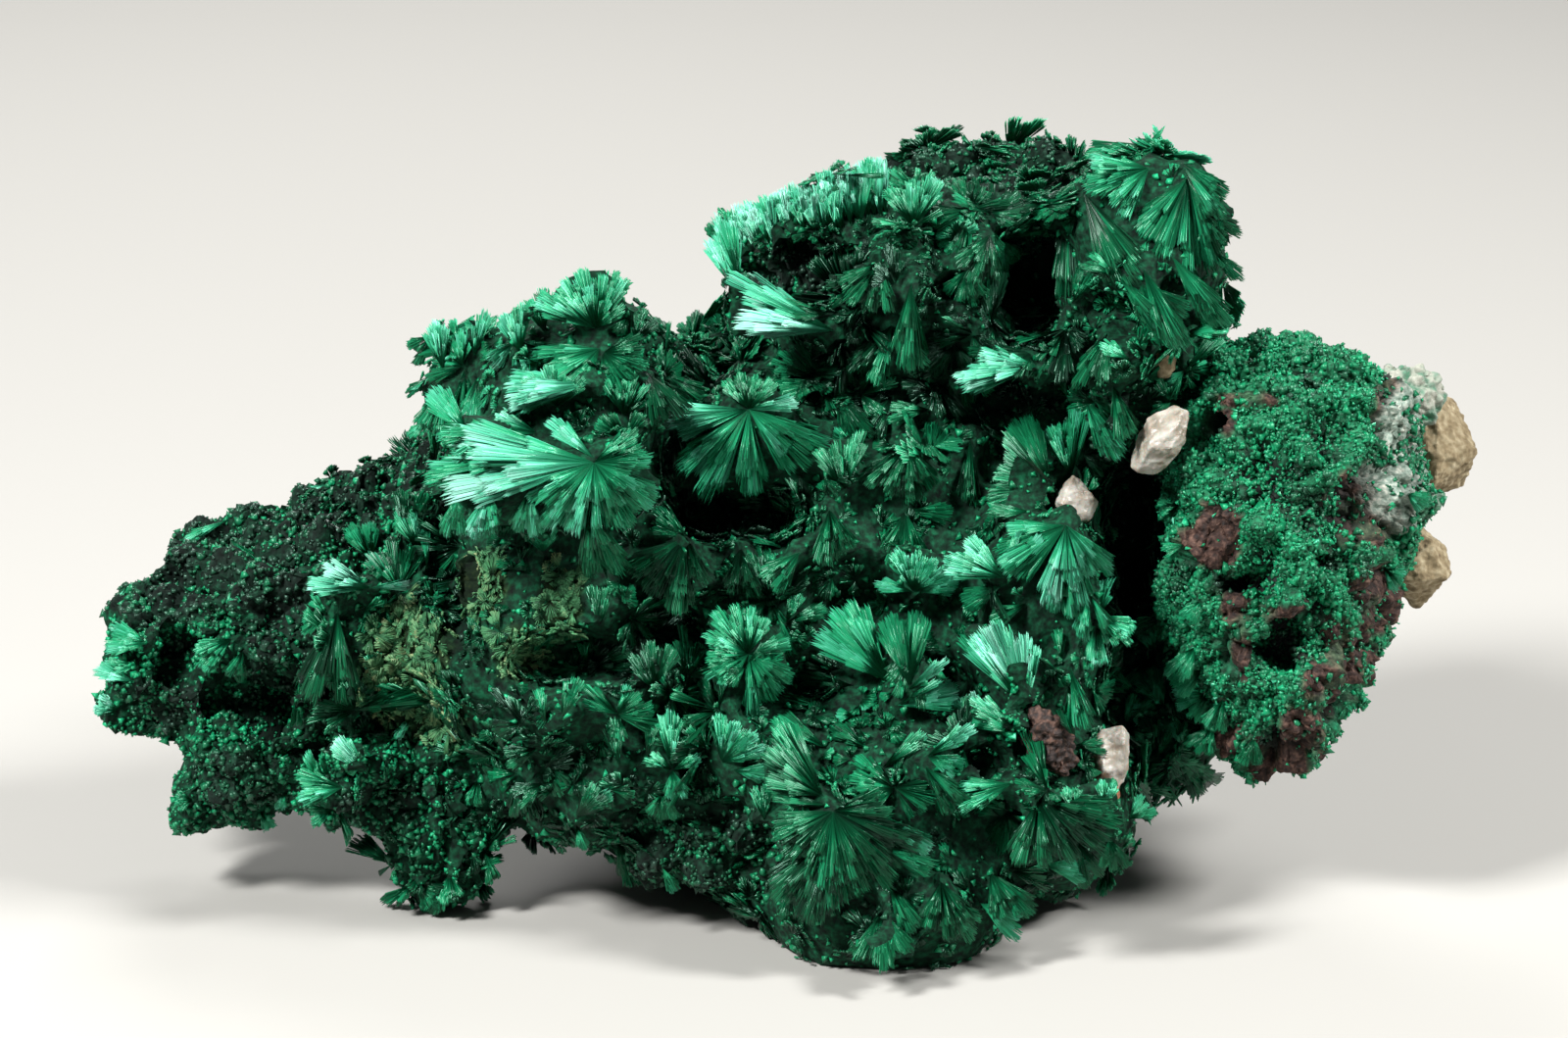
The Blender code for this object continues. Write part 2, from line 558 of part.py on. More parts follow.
def ground_block():
    bm = bmesh.new()
    centre, size = GROUND_BLOCK
    bmesh.ops.create_cube(bm, size=1, matrix=Matrix.Translation(centre) @ Matrix.Diagonal((*size, 1)))
    return new_object("ground", mesh_from(bm, "ground"))


def stone(name, colour, roughness):
    """A plain material in the stone's mean colour, as linear red, green and blue."""
    material = bpy.data.materials.new(name)
    material.use_nodes = True
    shader = material.node_tree.nodes["Principled BSDF"]
    shader.inputs["Base Color"].default_value = (*colour, 1)
    shader.inputs["Roughness"].default_value = roughness
    return material


def main():
    for obj in list(bpy.data.objects):
        bpy.data.objects.remove(obj)
    malachite = stone("malachite", (0.01, 0.21, 0.10), 0.4)
    crusted = stone("crusted_limonite", (0.03, 0.17, 0.09), 0.6)
    quartz = stone("quartz", (0.68, 0.62, 0.54), 0.4)
    sandstone = stone("sandstone", (0.36, 0.27, 0.16), 0.85)
    limonite = stone("limonite", (0.09, 0.05, 0.035), 0.85)
    paint = {"quartz": quartz, "sandstone": sandstone, "limonite": limonite}

    mass = make_mass()
    matrix = make_matrix()
    graph = bpy.context.evaluated_depsgraph_get()
    tree = BVHTree.FromObject(mass, graph)
    grains = [make_grain(*row, tree, GRAIN_SEED + number) for number, row in enumerate(GRAINS)]

    block = ground_block()
    cut(mass, block)
    remove(block)
    for number, obj in enumerate(grains):
        seat = grown(obj, SEAM)
        for other in [matrix, mass, *grains[number + 1:]]:
            cut(other, seat)
        remove(seat)
    seat = grown(matrix, SEAM)
    cut(mass, seat)
    remove(seat)
    for obj in (mass, matrix):
        keep_largest_body(obj)

    mass.data.materials.append(malachite)
    matrix.data.materials.append(crusted)
    for obj in grains:
        obj.data.materials.append(paint[obj.name.split("_")[0]])
    for obj in [mass, matrix, *grains]:
        obj.data.transform(Matrix.Scale(MM, 4))


main()
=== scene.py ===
"""The looks of a hand specimen of fibrous malachite: silky fans of fine needles, a granular green-black crust
between them, a lump of limonite under a sparkling green crust, and grains of quartz and sandstone.

Tables are in millimetres and degrees, meshes are in metres. Places on the best face are given as a person
sees it: millimetres across from its middle and up from its lowest point, in a plane square to the line of
sight. The solid model's surface gives the depth."""

import math

import bpy
import numpy as np
from mathutils import Matrix, Vector, noise
from mathutils.bvhtree import BVHTree


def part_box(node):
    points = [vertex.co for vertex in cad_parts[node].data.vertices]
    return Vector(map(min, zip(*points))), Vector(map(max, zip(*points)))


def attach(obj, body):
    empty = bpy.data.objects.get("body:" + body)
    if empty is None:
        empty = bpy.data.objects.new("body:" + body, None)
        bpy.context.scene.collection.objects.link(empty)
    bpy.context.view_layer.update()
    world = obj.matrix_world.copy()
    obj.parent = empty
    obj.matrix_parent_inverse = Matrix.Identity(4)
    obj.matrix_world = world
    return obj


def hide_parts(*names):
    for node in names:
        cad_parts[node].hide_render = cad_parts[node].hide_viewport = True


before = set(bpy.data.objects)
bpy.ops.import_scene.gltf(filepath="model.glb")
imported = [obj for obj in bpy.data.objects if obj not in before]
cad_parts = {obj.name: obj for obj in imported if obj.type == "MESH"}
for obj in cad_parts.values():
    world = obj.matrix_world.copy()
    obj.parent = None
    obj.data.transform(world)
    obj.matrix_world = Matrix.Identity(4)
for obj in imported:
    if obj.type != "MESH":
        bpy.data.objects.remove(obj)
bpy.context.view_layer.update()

MM = 0.001
rng = np.random.default_rng(11)

# The line of sight to the best face
EYE_DISTANCE = 304.5
LOOK_DOWN = math.radians(15)
SIGHT_UP = 23.9
SIGHT_CENTRE = np.array((0.0, -6.0, 20.4))
FORWARD = np.array((0, math.cos(LOOK_DOWN), -math.sin(LOOK_DOWN)))
UPWARD = np.array((0, math.sin(LOOK_DOWN), math.cos(LOOK_DOWN)))
RIGHT = np.array((1.0, 0, 0))
EYE = SIGHT_CENTRE - FORWARD * EYE_DISTANCE

# The picture: its width in pixels, and pixels to the millimetre in the middle plane
PICTURE_WIDTH = 1600
PICTURE_SCALE = 20
SENSOR_WIDTH = 36
LENS = SENSOR_WIDTH * PICTURE_SCALE * EYE_DISTANCE / PICTURE_WIDTH

# Fans of needles. Each group grows from one point: across, up, and its tone from 0, black-green, to 1, pale
# mint. The tone is partly painted sheen and painted shade: fans that catch the light are painted paler and
# shaded ones darker. Each fan: heading in the best face (0 right, 90 up), opening angle, length, lift towards the eye
FANS = [
    ((-9.6, 33.6, 0.8), [(128, 74, 3.6, -5)]),
    ((-9.6, 33.6, 0.66), [(72, 40, 3.0, -5), (40, 30, 2.2, -5)]),
    ((-9.4, 32.6, 0.66), [(196, 44, 3.4, -5), (238, 34, 2.8, -10)]),
    ((-9.2, 32.4, 0.5), [(282, 46, 2.6, -15), (330, 44, 2.6, -10), (15, 40, 2.2, -8)]),
    ((-11.6, 29.6, 0.6), [(120, 60, 2.2, -5), (60, 50, 2.0, -5)]),
    ((-8.2, 29.2, 0.5), [(95, 60, 2.2, -8), (40, 40, 2.0, -8)]),
    ((-17.4, 31.5, 0.75), [(100, 35, 2.8, 0)]),
    ((-15.8, 32.2, 0.75), [(85, 40, 2.3, 0)]),
    ((-13.5, 32.3, 0.75), [(100, 50, 2.7, 0)]),
    ((-9.8, 30.8, 0.9), [(186, 32, 5.2, -8)]),
    ((-9.7, 26.8, 0.86), [(181, 42, 7.8, -12)]),
    ((-9.7, 26.8, 0.74), [(222, 42, 4.6, -25), (262, 40, 4.0, -30)]),
    ((-9.7, 26.8, 0.6), [(312, 60, 4.2, -25), (18, 60, 3.0, -30)]),
    ((-15.0, 25.4, 0.76), [(262, 50, 2.6, -5)]),
    ((-13.0, 25.4, 0.76), [(265, 50, 2.6, -5)]),
    ((-13.8, 26.9, 0.7), [(190, 28, 4.4, -10)]),
    ((-19.3, 23.2, 0.4), [(80, 60, 2.6, 5)]),
    ((-17.3, 30.7, 0.62), [(250, 50, 3.0, -10)]),
    ((-14.8, 28.4, 0.6), [(200, 60, 3.0, -10)]),
    ((-7.6, 33.0, 0.4), [(60, 60, 1.8, 0)]),
    ((-7.0, 31.4, 0.35), [(300, 60, 3.0, 0)]),
    ((-10.0, 24.4, 0.5), [(285, 50, 3.6, -10)]),
    ((-5.0, 23.0, 0.42), [(238, 75, 4.3, -10), (290, 25, 3.0, -10), (150, 60, 2.2, -10)]),
    ((-2.2, 22.4, 0.42), [(272, 60, 2.6, -10)]),
    ((-1.8, 29.5, 0.86), [(190, 28, 4.2, -10), (8, 22, 2.8, -8)]),
    ((-1.8, 29.5, 0.7), [(322, 45, 4.4, -20), (232, 40, 5.0, -28), (272, 25, 4.4, -35)]),
    ((-1.8, 29.5, 0.5), [(90, 110, 2.2, -25)]),
    ((-6.6, 15.1, 0.4), [(95, 80, 2.6, 10)]),
    ((-11.4, 13.6, 0.6), [(68, 28, 2.6, 20)]),
    ((-12.2, 13.4, 0.5), [(100, 25, 2.0, 15)]),
    ((-5.7, 11.1, 0.68), [(93, 30, 2.9, 15), (25, 30, 1.6, 15), (150, 40, 1.6, 15), (280, 60, 1.8, 0)]),
    ((2.0, 9.8, 0.5), [(132, 40, 4.4, 0), (165, 30, 3.6, 0)]),
    ((2.5, 9.0, 0.42), [(200, 35, 3.4, -12), (235, 40, 4.0, -12), (268, 35, 5.0, -12), (300, 40, 5.2, -12),
                        (330, 40, 5.0, -12), (10, 40, 3.0, -8)]),
    ((-8.4, 11.3, 0.45), [(100, 30, 2.4, 10)]),
    ((-7.0, 11.7, 0.45), [(80, 25, 2.2, 10)]),
    ((-12.6, 12.2, 0.4), [(200, 50, 2.0, 0)]),
    ((-12.3, 10.4, 0.4), [(210, 60, 2.0, 0)]),
    ((-10.6, 8.7, 0.4), [(45, 60, 2.0, 0)]),
    ((2.6, 33.5, 0.92), [(153, 16, 6.1, -4)]),
    ((2.6, 33.5, 0.86), [(174, 20, 6.0, -8)]),
    ((6.6, 38.8, 0.58), [(92, 85, 2.8, -5), (172, 14, 2.2, 0)]),
    ((4.9, 37.0, 0.45), [(245, 95, 2.7, -15)]),
    ((6.5, 36.0, 0.45), [(268, 26, 4.4, -12)]),
    ((5.5, 33.8, 0.4), [(240, 50, 3.4, -12), (300, 40, 3.0, -12)]),
    ((12.9, 31.7, 0.8), [(170, 30, 3.4, -5), (192, 22, 5.0, -10)]),
    ((6.3, 27.6, 0.4), [(262, 110, 3.0, -12)]),
    ((9.5, 28.0, 0.4), [(268, 22, 4.2, -5)]),
    ((13.7, 25.6, 0.6), [(165, 80, 3.4, 5)]),
    ((14.4, 23.6, 0.75), [(215, 38, 4.2, -5), (185, 20, 3.6, -5), (268, 45, 4.6, -8), (305, 40, 3.8, -12)]),
    ((14.6, 25.9, 0.65), [(97, 50, 3.6, 0)]),
    ((15.3, 30.2, 0.65), [(300, 30, 4.4, -3)]),
    ((7.4, 29.5, 0.5), [(185, 40, 2.4, -5)]),
    ((3.1, 25.4, 0.45), [(100, 70, 3.0, -5)]),
    ((2.3, 24.4, 0.4), [(280, 60, 3.0, -8)]),
    ((0.8, 22.2, 0.55), [(225, 55, 2.6, -8)]),
    ((18.6, 41.8, 0.64), [(185, 50, 3.5, -8), (232, 40, 3.2, -10)]),
    ((18.3, 43.0, 0.6), [(190, 25, 3.0, -5)]),
    ((20.6, 41.3, 0.6), [(232, 34, 4.2, -10), (262, 32, 5.8, -12), (285, 18, 5.0, -14)]),
    ((15.3, 40.5, 0.45), [(297, 36, 5.0, -10)]),
    ((14.5, 41.0, 0.3), [(269, 18, 5.8, -10)]),
    ((14.7, 34.9, 0.5), [(66, 40, 1.9, 10)]),
    ((17.0, 36.3, 0.55), [(150, 45, 2.0, -5), (312, 26, 4.6, -8)]),
    ((18.3, 36.7, 0.55), [(296, 26, 4.6, -8)]),
    ((19.8, 37.3, 0.55), [(306, 24, 5.2, -10)]),
    ((20.8, 36.9, 0.5), [(290, 24, 3.6, -15)]),
    ((17.7, 32.0, 0.8), [(150, 30, 1.8, 0)]),
    ((16.8, 30.7, 0.5), [(285, 35, 3.4, -8)]),
    ((21.0, 39.8, 0.5), [(318, 44, 2.6, -20)]),
    ((16.5, 33.4, 0.4), [(250, 50, 3.2, -8)]),
    ((10.5, 38.4, 0.4), [(250, 80, 2.6, -5)]),
    ((12.0, 13.0, 0.7), [(152, 40, 3.2, 0)]),
    ((14.6, 16.3, 0.55), [(282, 32, 3.2, -5)]),
    ((11.6, 10.4, 0.65), [(196, 44, 3.2, -5)]),
    ((13.0, 9.6, 0.4), [(250, 28, 3.8, -15), (275, 24, 3.9, -15), (300, 26, 3.8, -15), (335, 40, 4.8, -10),
                        (352, 24, 4.6, -10)]),
    ((15.0, 7.4, 0.45), [(290, 60, 2.4, -10)]),
    ((8.0, 5.4, 0.4), [(280, 80, 3.0, -10)]),
    ((10.5, 5.9, 0.4), [(300, 60, 3.0, -10)]),
    ((5.0, 3.9, 0.4), [(270, 90, 3.0, 5)]),
    ((18.0, 15.0, 0.5), [(150, 50, 1.9, -5)]),
    ((-21.1, 20.4, 0.9), [(165, 48, 3.5, 0), (5, 16, 2.3, 0)]),
    ((-21.2, 10.9, 0.92), [(135, 30, 2.6, 0)]),
    ((-22.5, 10.2, 0.68), [(178, 60, 2.8, 0)]),
    ((-22.8, 19.2, 0.35), [(262, 45, 5.0, -10)]),
    ((-1.8, 17.0, 0.62), [(118, 45, 2.9, 0), (75, 45, 2.4, -5), (18, 30, 2.5, 0), (170, 50, 2.4, -5),
                          (218, 40, 2.4, -5), (320, 45, 2.7, 0), (285, 40, 3.1, -5)]),
    ((5.4, 15.6, 0.66), [(124, 34, 5.0, 8), (146, 22, 4.6, 8)]),
    ((6.4, 15.4, 0.5), [(95, 50, 4.2, 5)]),
    ((6.2, 15.1, 0.85), [(38, 14, 2.9, 15)]),
    ((5.8, 14.4, 0.85), [(14, 38, 3.6, 10)]),
    ((1.8, 9.9, 0.42), [(133, 22, 4.2, 0)]),
    ((2.2, 12.2, 0.46), [(150, 24, 3.6, 0)]),
    ((2.3, 14.2, 0.42), [(165, 18, 2.8, 0)]),
    ((3.6, 15.4, 0.36), [(172, 22, 3.2, 0)]),
    ((2.3, 9.3, 0.5), [(173, 18, 2.7, 5)]),
    ((4.3, 12.2, 0.36), [(148, 34, 2.4, 0)]),
    ((-3.2, 11.5, 0.75), [(80, 50, 2.7, 8), (28, 50, 2.8, 8)]),
    ((-2.6, 11.1, 0.7), [(352, 34, 1.9, 5)]),
    ((-1.0, 8.5, 0.5), [(95, 40, 2.2, 5)]),
    ((0.1, 18.6, 0.52), [(68, 30, 2.2, 5), (20, 26, 2.4, 5)]),
    ((5.0, 11.2, 0.58), [(38, 20, 3.4, 8)]),
    ((6.6, 20.2, 0.8), [(115, 30, 2.6, 18), (80, 30, 2.1, 20), (45, 40, 2.3, 18), (12, 34, 2.6, 10),
                        (168, 24, 2.0, 5)]),
    ((11.2, 20.9, 0.78), [(150, 60, 3.2, 8), (58, 40, 2.9, 8)]),
    ((11.1, 20.5, 0.62), [(205, 38, 2.7, 0)]),
    ((12.4, 14.2, 0.8), [(120, 34, 5.2, 8), (93, 28, 4.0, 4)]),
    ((10.8, 15.7, 0.8), [(128, 12, 3.4, 10)]),
    ((10.4, 13.2, 0.85), [(128, 44, 2.3, 8)]),
    ((7.3, 11.8, 0.72), [(32, 24, 3.2, 8), (338, 45, 2.1, 0)]),
    ((7.2, 11.3, 0.5), [(308, 42, 3.0, -5)]),
    ((15.5, 20.2, 0.66), [(262, 24, 2.6, 0), (300, 18, 3.2, 0)]),
    ((14.4, 21.3, 0.62), [(262, 50, 2.5, 0)]),
    ((14.2, 16.6, 0.5), [(98, 24, 2.1, 0)]),
    ((12.4, 19.6, 0.48), [(205, 34, 2.5, 0)]),
    ((9.5, 29.3, 0.35), [(215, 24, 2.1, 0)]),
    ((13.6, 25.7, 0.6), [(118, 36, 3.9, 5)]),
    ((14.4, 26.5, 0.6), [(82, 24, 3.0, 5)]),
    ((12.5, 24.3, 0.5), [(180, 26, 2.6, 0)]),
    ((2.8, 30.2, 0.26), [(300, 60, 3.0, 0)]),
    ((5.5, 30.2, 0.26), [(240, 40, 2.6, 0)]),
    ((5.0, 8.8, 0.74), [(322, 26, 3.2, 8)]),
    ((4.7, 7.3, 0.68), [(336, 26, 3.7, 8)]),
    ((13.2, 6.3, 0.68), [(350, 36, 2.6, 5)]),
    ((10.0, 4.3, 0.64), [(330, 44, 2.7, 5)]),
    ((11.2, 5.1, 0.62), [(300, 26, 2.1, 0)]),
    ((8.2, 4.4, 0.52), [(320, 50, 2.4, 0)]),
    ((5.4, 5.2, 0.46), [(300, 34, 2.9, 0)]),
    ((2.4, 7.7, 0.3), [(240, 60, 4.6, 0), (285, 40, 4.2, 0)]),
    ((0.4, 5.4, 0.36), [(280, 70, 2.0, 0)]),
    ((14.8, 8.8, 0.62), [(95, 50, 1.6, 10)]),
    ((16.4, 9.2, 0.62), [(85, 60, 1.4, 10)]),
    ((17.6, 8.6, 0.66), [(40, 70, 1.5, 5)]),
    ((16.6, 7.6, 0.5), [(280, 70, 1.8, 0)]),
    ((-12.2, 33.4, 0.72), [(105, 50, 2.3, 5)]),
    ((-16.1, 28.2, 0.72), [(130, 32, 3.2, 8)]),
    ((-15.6, 31.2, 0.6), [(258, 34, 2.9, 0)]),
    ((-9.0, 27.0, 0.52), [(32, 50, 2.2, 0)]),
    ((-9.7, 27.0, 0.88), [(140, 22, 3.3, 5)]),
    ((-12.6, 28.3, 0.62), [(165, 44, 2.7, 0)]),
    ((-18.6, 22.2, 0.78), [(108, 46, 2.5, 10)]),
    ((-18.2, 21.2, 0.76), [(94, 12, 3.3, 12)]),
    ((-16.6, 25.2, 0.72), [(262, 44, 2.4, 0)]),
    ((-17.3, 22.3, 0.6), [(315, 30, 2.1, 0), (80, 22, 1.7, 0)]),
    ((-12.3, 22.2, 0.68), [(95, 90, 1.7, 15)]),
    ((-9.0, 20.8, 0.55), [(105, 14, 2.8, 5)]),
    ((-21.0, 21.8, 0.56), [(110, 64, 2.3, 0)]),
    ((-19.0, 13.9, 0.8), [(238, 24, 1.5, 5)]),
    ((-14.0, 13.3, 0.7), [(163, 10, 1.6, 5)]),
    ((-12.0, 17.4, 0.66), [(27, 12, 2.7, 5)]),
    ((-9.4, 18.4, 0.45), [(90, 40, 2.2, 0)]),
    ((-11.8, 8.8, 0.64), [(22, 26, 3.2, 5)]),
    ((-6.2, 9.9, 0.52), [(265, 90, 1.5, 5)]),
    ((-10.6, 8.3, 0.66), [(290, 34, 1.6, 0)]),
    ((-6.2, 6.1, 0.66), [(300, 34, 1.6, 0)]),
    ((18.9, 17.0, 0.64), [(110, 50, 2.2, 0), (250, 60, 2.4, 0)]),
    ((19.4, 14.4, 0.7), [(120, 60, 2.0, 0), (200, 50, 1.8, 0), (280, 60, 2.0, 0)]),
    ((17.4, 13.2, 0.66), [(60, 60, 2.0, 0), (330, 60, 1.8, 0)]),
    ((8.9, 38.3, 0.6), [(70, 110, 1.2, 10), (190, 110, 1.2, 10), (310, 110, 1.2, 10)]),
    ((9.3, 36.6, 0.45), [(270, 110, 1.9, 0)]),
    ((20.4, 42.4, 0.62), [(316, 40, 3.6, 0)]),
    ((22.3, 40.0, 0.5), [(255, 50, 2.6, 0)]),
    ((21.7, 37.7, 0.55), [(315, 28, 2.3, 0)]),
    ((15.3, 37.8, 0.6), [(318, 28, 1.7, 5)]),
    ((-28.5, 24.2, 0.82), [(206, 14, 3.0, 0)]),
    ((-23.4, 26.0, 0.8), [(197, 14, 1.8, 0)]),
    ((-18.0, 29.0, 0.75), [(215, 24, 1.6, 0)]),
    ((-28.3, 22.9, 0.66), [(308, 36, 1.7, 10)]),
    ((-29.3, 22.2, 0.7), [(330, 60, 0.9, 10)]),
    ((-26.5, 23.9, 0.62), [(320, 60, 1.1, 10)]),
    ((-23.7, 24.2, 0.5), [(272, 50, 2.0, 10)]),
    ((-28.3, 20.3, 0.7), [(290, 60, 0.9, 5)]),
    ((-33.6, 20.8, 0.75), [(235, 20, 1.4, 0)]),
    ((-32.4, 17.6, 0.75), [(172, 56, 2.5, 5)]),
    ((-33.0, 16.5, 0.7), [(190, 44, 1.9, 5)]),
    ((-33.1, 15.6, 0.9), [(163, 28, 2.1, 10)]),
    ((-33.9, 14.2, 0.85), [(165, 64, 1.4, 5)]),
    ((-28.2, 17.8, 0.6), [(212, 56, 2.3, 5)]),
    ((-27.6, 17.2, 0.55), [(250, 50, 1.6, 0)]),
    ((-30.2, 9.6, 0.58), [(190, 90, 1.0, 0)]),
    ((-26.7, 9.0, 0.75), [(300, 50, 1.1, 5)]),
    ((-25.4, 10.0, 0.72), [(250, 40, 1.2, 5)]),
    ((-17.6, 5.2, 0.6), [(262, 80, 1.2, 0)]),
    ((-15.6, 10.6, 0.5), [(255, 60, 1.8, 0)]),
    ((-16.6, 13.6, 0.55), [(300, 20, 1.8, 5)]),
]

# The same for the crust of the matrix
LOBE_FANS = [
    ((21.0, 17.4, 0.62), [(235, 50, 2.1, 5)]),
    ((21.3, 16.2, 0.66), [(215, 60, 2.0, 5)]),
    ((21.6, 15.0, 0.66), [(190, 50, 1.8, 5), (240, 40, 1.8, 5)]),
    ((22.4, 14.7, 0.55), [(250, 60, 1.9, 5)]),
    ((21.9, 13.4, 0.5), [(240, 70, 1.7, 0)]),
    ((24.0, 12.8, 0.5), [(262, 60, 1.7, 0)]),
    ((21.4, 19.8, 0.6), [(230, 50, 1.6, 5)]),
    ((20.4, 22.6, 0.62), [(205, 60, 1.4, 5)]),
    ((20.2, 24.6, 0.6), [(190, 60, 1.2, 5)]),
    ((31.8, 25.2, 0.72), [(330, 70, 1.3, 0)]),
    ((30.6, 21.4, 0.66), [(320, 70, 1.5, 0)]),
]

# The crest's curtain: narrow fans side by side, from the left end of its foot to the right one. Each starts up
# to this much above the foot line and reaches up to the top line
CREST_LEFT = np.array((-3.0, 36.1))
CREST_RIGHT = np.array((5.2, 39.2))
CREST_FANS = 84
CREST_HEIGHT = 3.5
CREST_START = 1.9
CREST_HEADINGS = (106, 94)
CREST_OPENING = 20
# The crest's tone, like the fans' tones above, is partly painted sheen
CREST_TONE = 0.84

# The granular lobe lies left of this
LOBE_START = -24.5

# A fan is made of petals this many degrees wide, and each of them of blades
PETAL_ANGLE = 26.0
BLADE_ANGLE = 5.5

# Where the crust is granular instead of needles: across, up, half width, half height, weight
GRANULAR = [
    (-29, 16, 5.6, 8.5, 1.0),
    (-25, 23.8, 6.5, 3.2, 1.0),
    (-20, 27, 2.4, 1.6, 1.0),
    (-24, 9.5, 8, 4, 0.9),
    (-18.5, 7, 4.5, 3, 0.85),
    (9.8, 42.7, 6.6, 2.2, 1.0),
    (1.6, 36.6, 3.6, 1.4, 1.0),
    (-4.6, 7.0, 4.2, 2.3, 0.9),
    (-6.2, 33, 2, 1.2, 0.6),
]

# Where that crust is black with iron and manganese, as above. Elsewhere it is green
BLACK = [
    (-32, 20.2, 2.6, 1.8, 1.0),
    (-28, 23.2, 4.4, 2.6, 0.95),
    (-23.6, 25, 3.2, 2.1, 1.0),
    (-20, 27, 2.6, 1.8, 1.0),
    (-25.6, 17.4, 2.0, 2.9, 0.9),
    (-31.4, 14.6, 1.8, 1.5, 0.9),
    (-28, 10.4, 2.5, 1.9, 0.75),
    (-26, 20.8, 3.2, 1.6, 0.9),
    (-20, 9.2, 3.2, 1.3, 0.6),
    (9.8, 42.4, 6.2, 1.9, 0.9),
    (1.6, 36.6, 3.6, 1.4, 1.0),
    (-4.6, 7.0, 4.2, 2.3, 0.75),
]

# Pits and clefts that go far in, where little grows and no light falls, as above. The ground sinks there and is painted
# near-black as shade, and what grows there is painted darker as shade
PITS = [
    (-3.8, 24.0, 1.6, 1.0, 0.8),
    (-7.2, 16.6, 1.9, 1.5, 0.8),
    (17.6, 22.6, 1.3, 3.8, 1.0),
    (19.0, 24.6, 1.2, 1.4, 0.9),
    (18.6, 17.6, 0.6, 1.4, 0.8),
    (13.6, 36.2, 1.0, 1.9, 0.9),
    (11.6, 36.0, 0.9, 1.2, 0.9),
    (8.6, 35.8, 0.8, 0.6, 0.9),
    (1.4, 37.4, 1.9, 0.7, 0.9),
    (3.2, 31.8, 1.2, 1.0, 0.8),
    (11.2, 30.0, 1.2, 0.8, 0.7),
    (4.2, 3.7, 1.2, 0.8, 0.7),
    (-27.2, 14.2, 1.2, 0.7, 0.9),
    (-31.0, 17.0, 0.5, 1.0, 0.8),
    (-29.4, 19.0, 1.0, 0.6, 0.7),
    (-31.2, 21.6, 0.8, 0.4, 1.0),
    (-24.0, 12.0, 0.8, 0.5, 0.9),
    (-22.9, 16.8, 0.5, 2.0, 0.9),
    (-23.4, 14.2, 0.9, 0.9, 0.8),
    (-26.2, 19.6, 1.0, 0.6, 0.7),
    (-16.8, 18.6, 0.7, 1.7, 0.9),
    (-12.8, 14.4, 0.8, 0.9, 0.9),
    (-17.4, 21.0, 0.7, 1.3, 0.8),
    (-20.4, 13.5, 0.6, 0.6, 0.8),
    (-13.4, 8.6, 1.2, 0.8, 0.8),
    (-15.8, 20.8, 0.5, 1.2, 0.8),
]

# Where the small fans and tufts are painted brighter than elsewhere, as painted sheen where light catches them, as
# above, and where they are painted darker, as painted shade
PAINTED_SHEEN = [
    (-15.4, 31.2, 3.6, 3.2, 1.0),
    (-17.6, 29.6, 1.6, 2.6, 1.0),
    (-21.6, 19.0, 1.6, 3.6, 0.8),
    (19.4, 37.4, 3.8, 6.0, 0.6),
    (12.6, 17.4, 4.2, 4.0, 0.4),
    (5.5, 12.5, 4.0, 3.5, 0.3),
    (16.6, 8.6, 2.6, 2.0, 0.5),
    (-24.0, 10.4, 2.6, 1.2, 0.5),
    (-33.6, 15.6, 1.6, 3.0, 0.7),
]
PAINTED_SHADE = [
    (8.6, 33.4, 6.4, 4.6, 1.0),
    (-4.8, 24.6, 4.4, 3.4, 0.8),
    (-7.2, 17.0, 3.4, 2.4, 0.7),
    (3.0, 5.6, 3.4, 2.6, 0.8),
    (12.4, 6.4, 3.4, 2.4, 0.5),
    (17.8, 22.6, 1.6, 4.0, 1.0),
    (-15.6, 9.4, 3.0, 2.4, 0.6),
]

# Where the needles are matted with brown dust, as above
DUSTED = [
    (-19.4, 16.4, 1.9, 3.0, 1.0),
    (-15.2, 20.5, 0.9, 1.7, 1.0),
    (-11.4, 19.8, 1.0, 1.4, 1.0),
    (-13.5, 17.1, 1.2, 1.3, 1.0),
    (-17.6, 13.6, 1.3, 1.1, 0.9),
]

# Holes in the matrix, as above. The matrix sinks there and is painted near-black as shade, and its crystals there are
# painted darker as shade
LOBE_PITS = [
    (21.9, 28.7, 0.7, 0.5, 1.0),
    (25.5, 17.4, 0.6, 1.0, 0.8),
    (27.0, 30.8, 0.6, 0.5, 0.8),
    (26.6, 26.4, 0.7, 0.4, 0.7),
    (24.6, 12.2, 0.5, 1.0, 0.9),
    (22.6, 20.6, 0.8, 0.6, 0.8),
    (28.0, 21.6, 0.6, 0.5, 0.8),
    (20.2, 21.4, 0.6, 1.0, 0.7),
]

# Where the matrix is bare brown limonite, as above
BARE = [
    (21.6, 23.0, 1.5, 1.8, 1.0),
    (30.4, 24.6, 2.2, 2.0, 1.0),
    (31.1, 29.6, 1.1, 2.0, 0.9),
    (23.4, 30.1, 1.7, 0.5, 0.9),
    (22.1, 28.7, 0.9, 0.8, 1.0),
    (25.6, 19.0, 2.6, 0.5, 0.9),
    (23.0, 18.2, 0.8, 2.8, 0.9),
    (30.4, 19.8, 1.2, 1.8, 1.0),
    (29.0, 17.2, 1.4, 1.9, 1.0),
    (27.8, 14.9, 1.4, 1.8, 1.0),
    (26.5, 12.9, 1.5, 1.5, 1.0),
    (25.2, 11.6, 1.5, 1.0, 1.0),
    (22.4, 12.4, 0.8, 0.9, 0.8),
]


def seen_at(across, up, behind):
    """The point, in millimetres, that shows at this place in the best face at this depth behind its plane."""
    reach = (EYE_DISTANCE + behind) / EYE_DISTANCE
    return SIGHT_CENTRE + FORWARD * behind + (RIGHT * across + UPWARD * (up - SIGHT_UP)) * reach


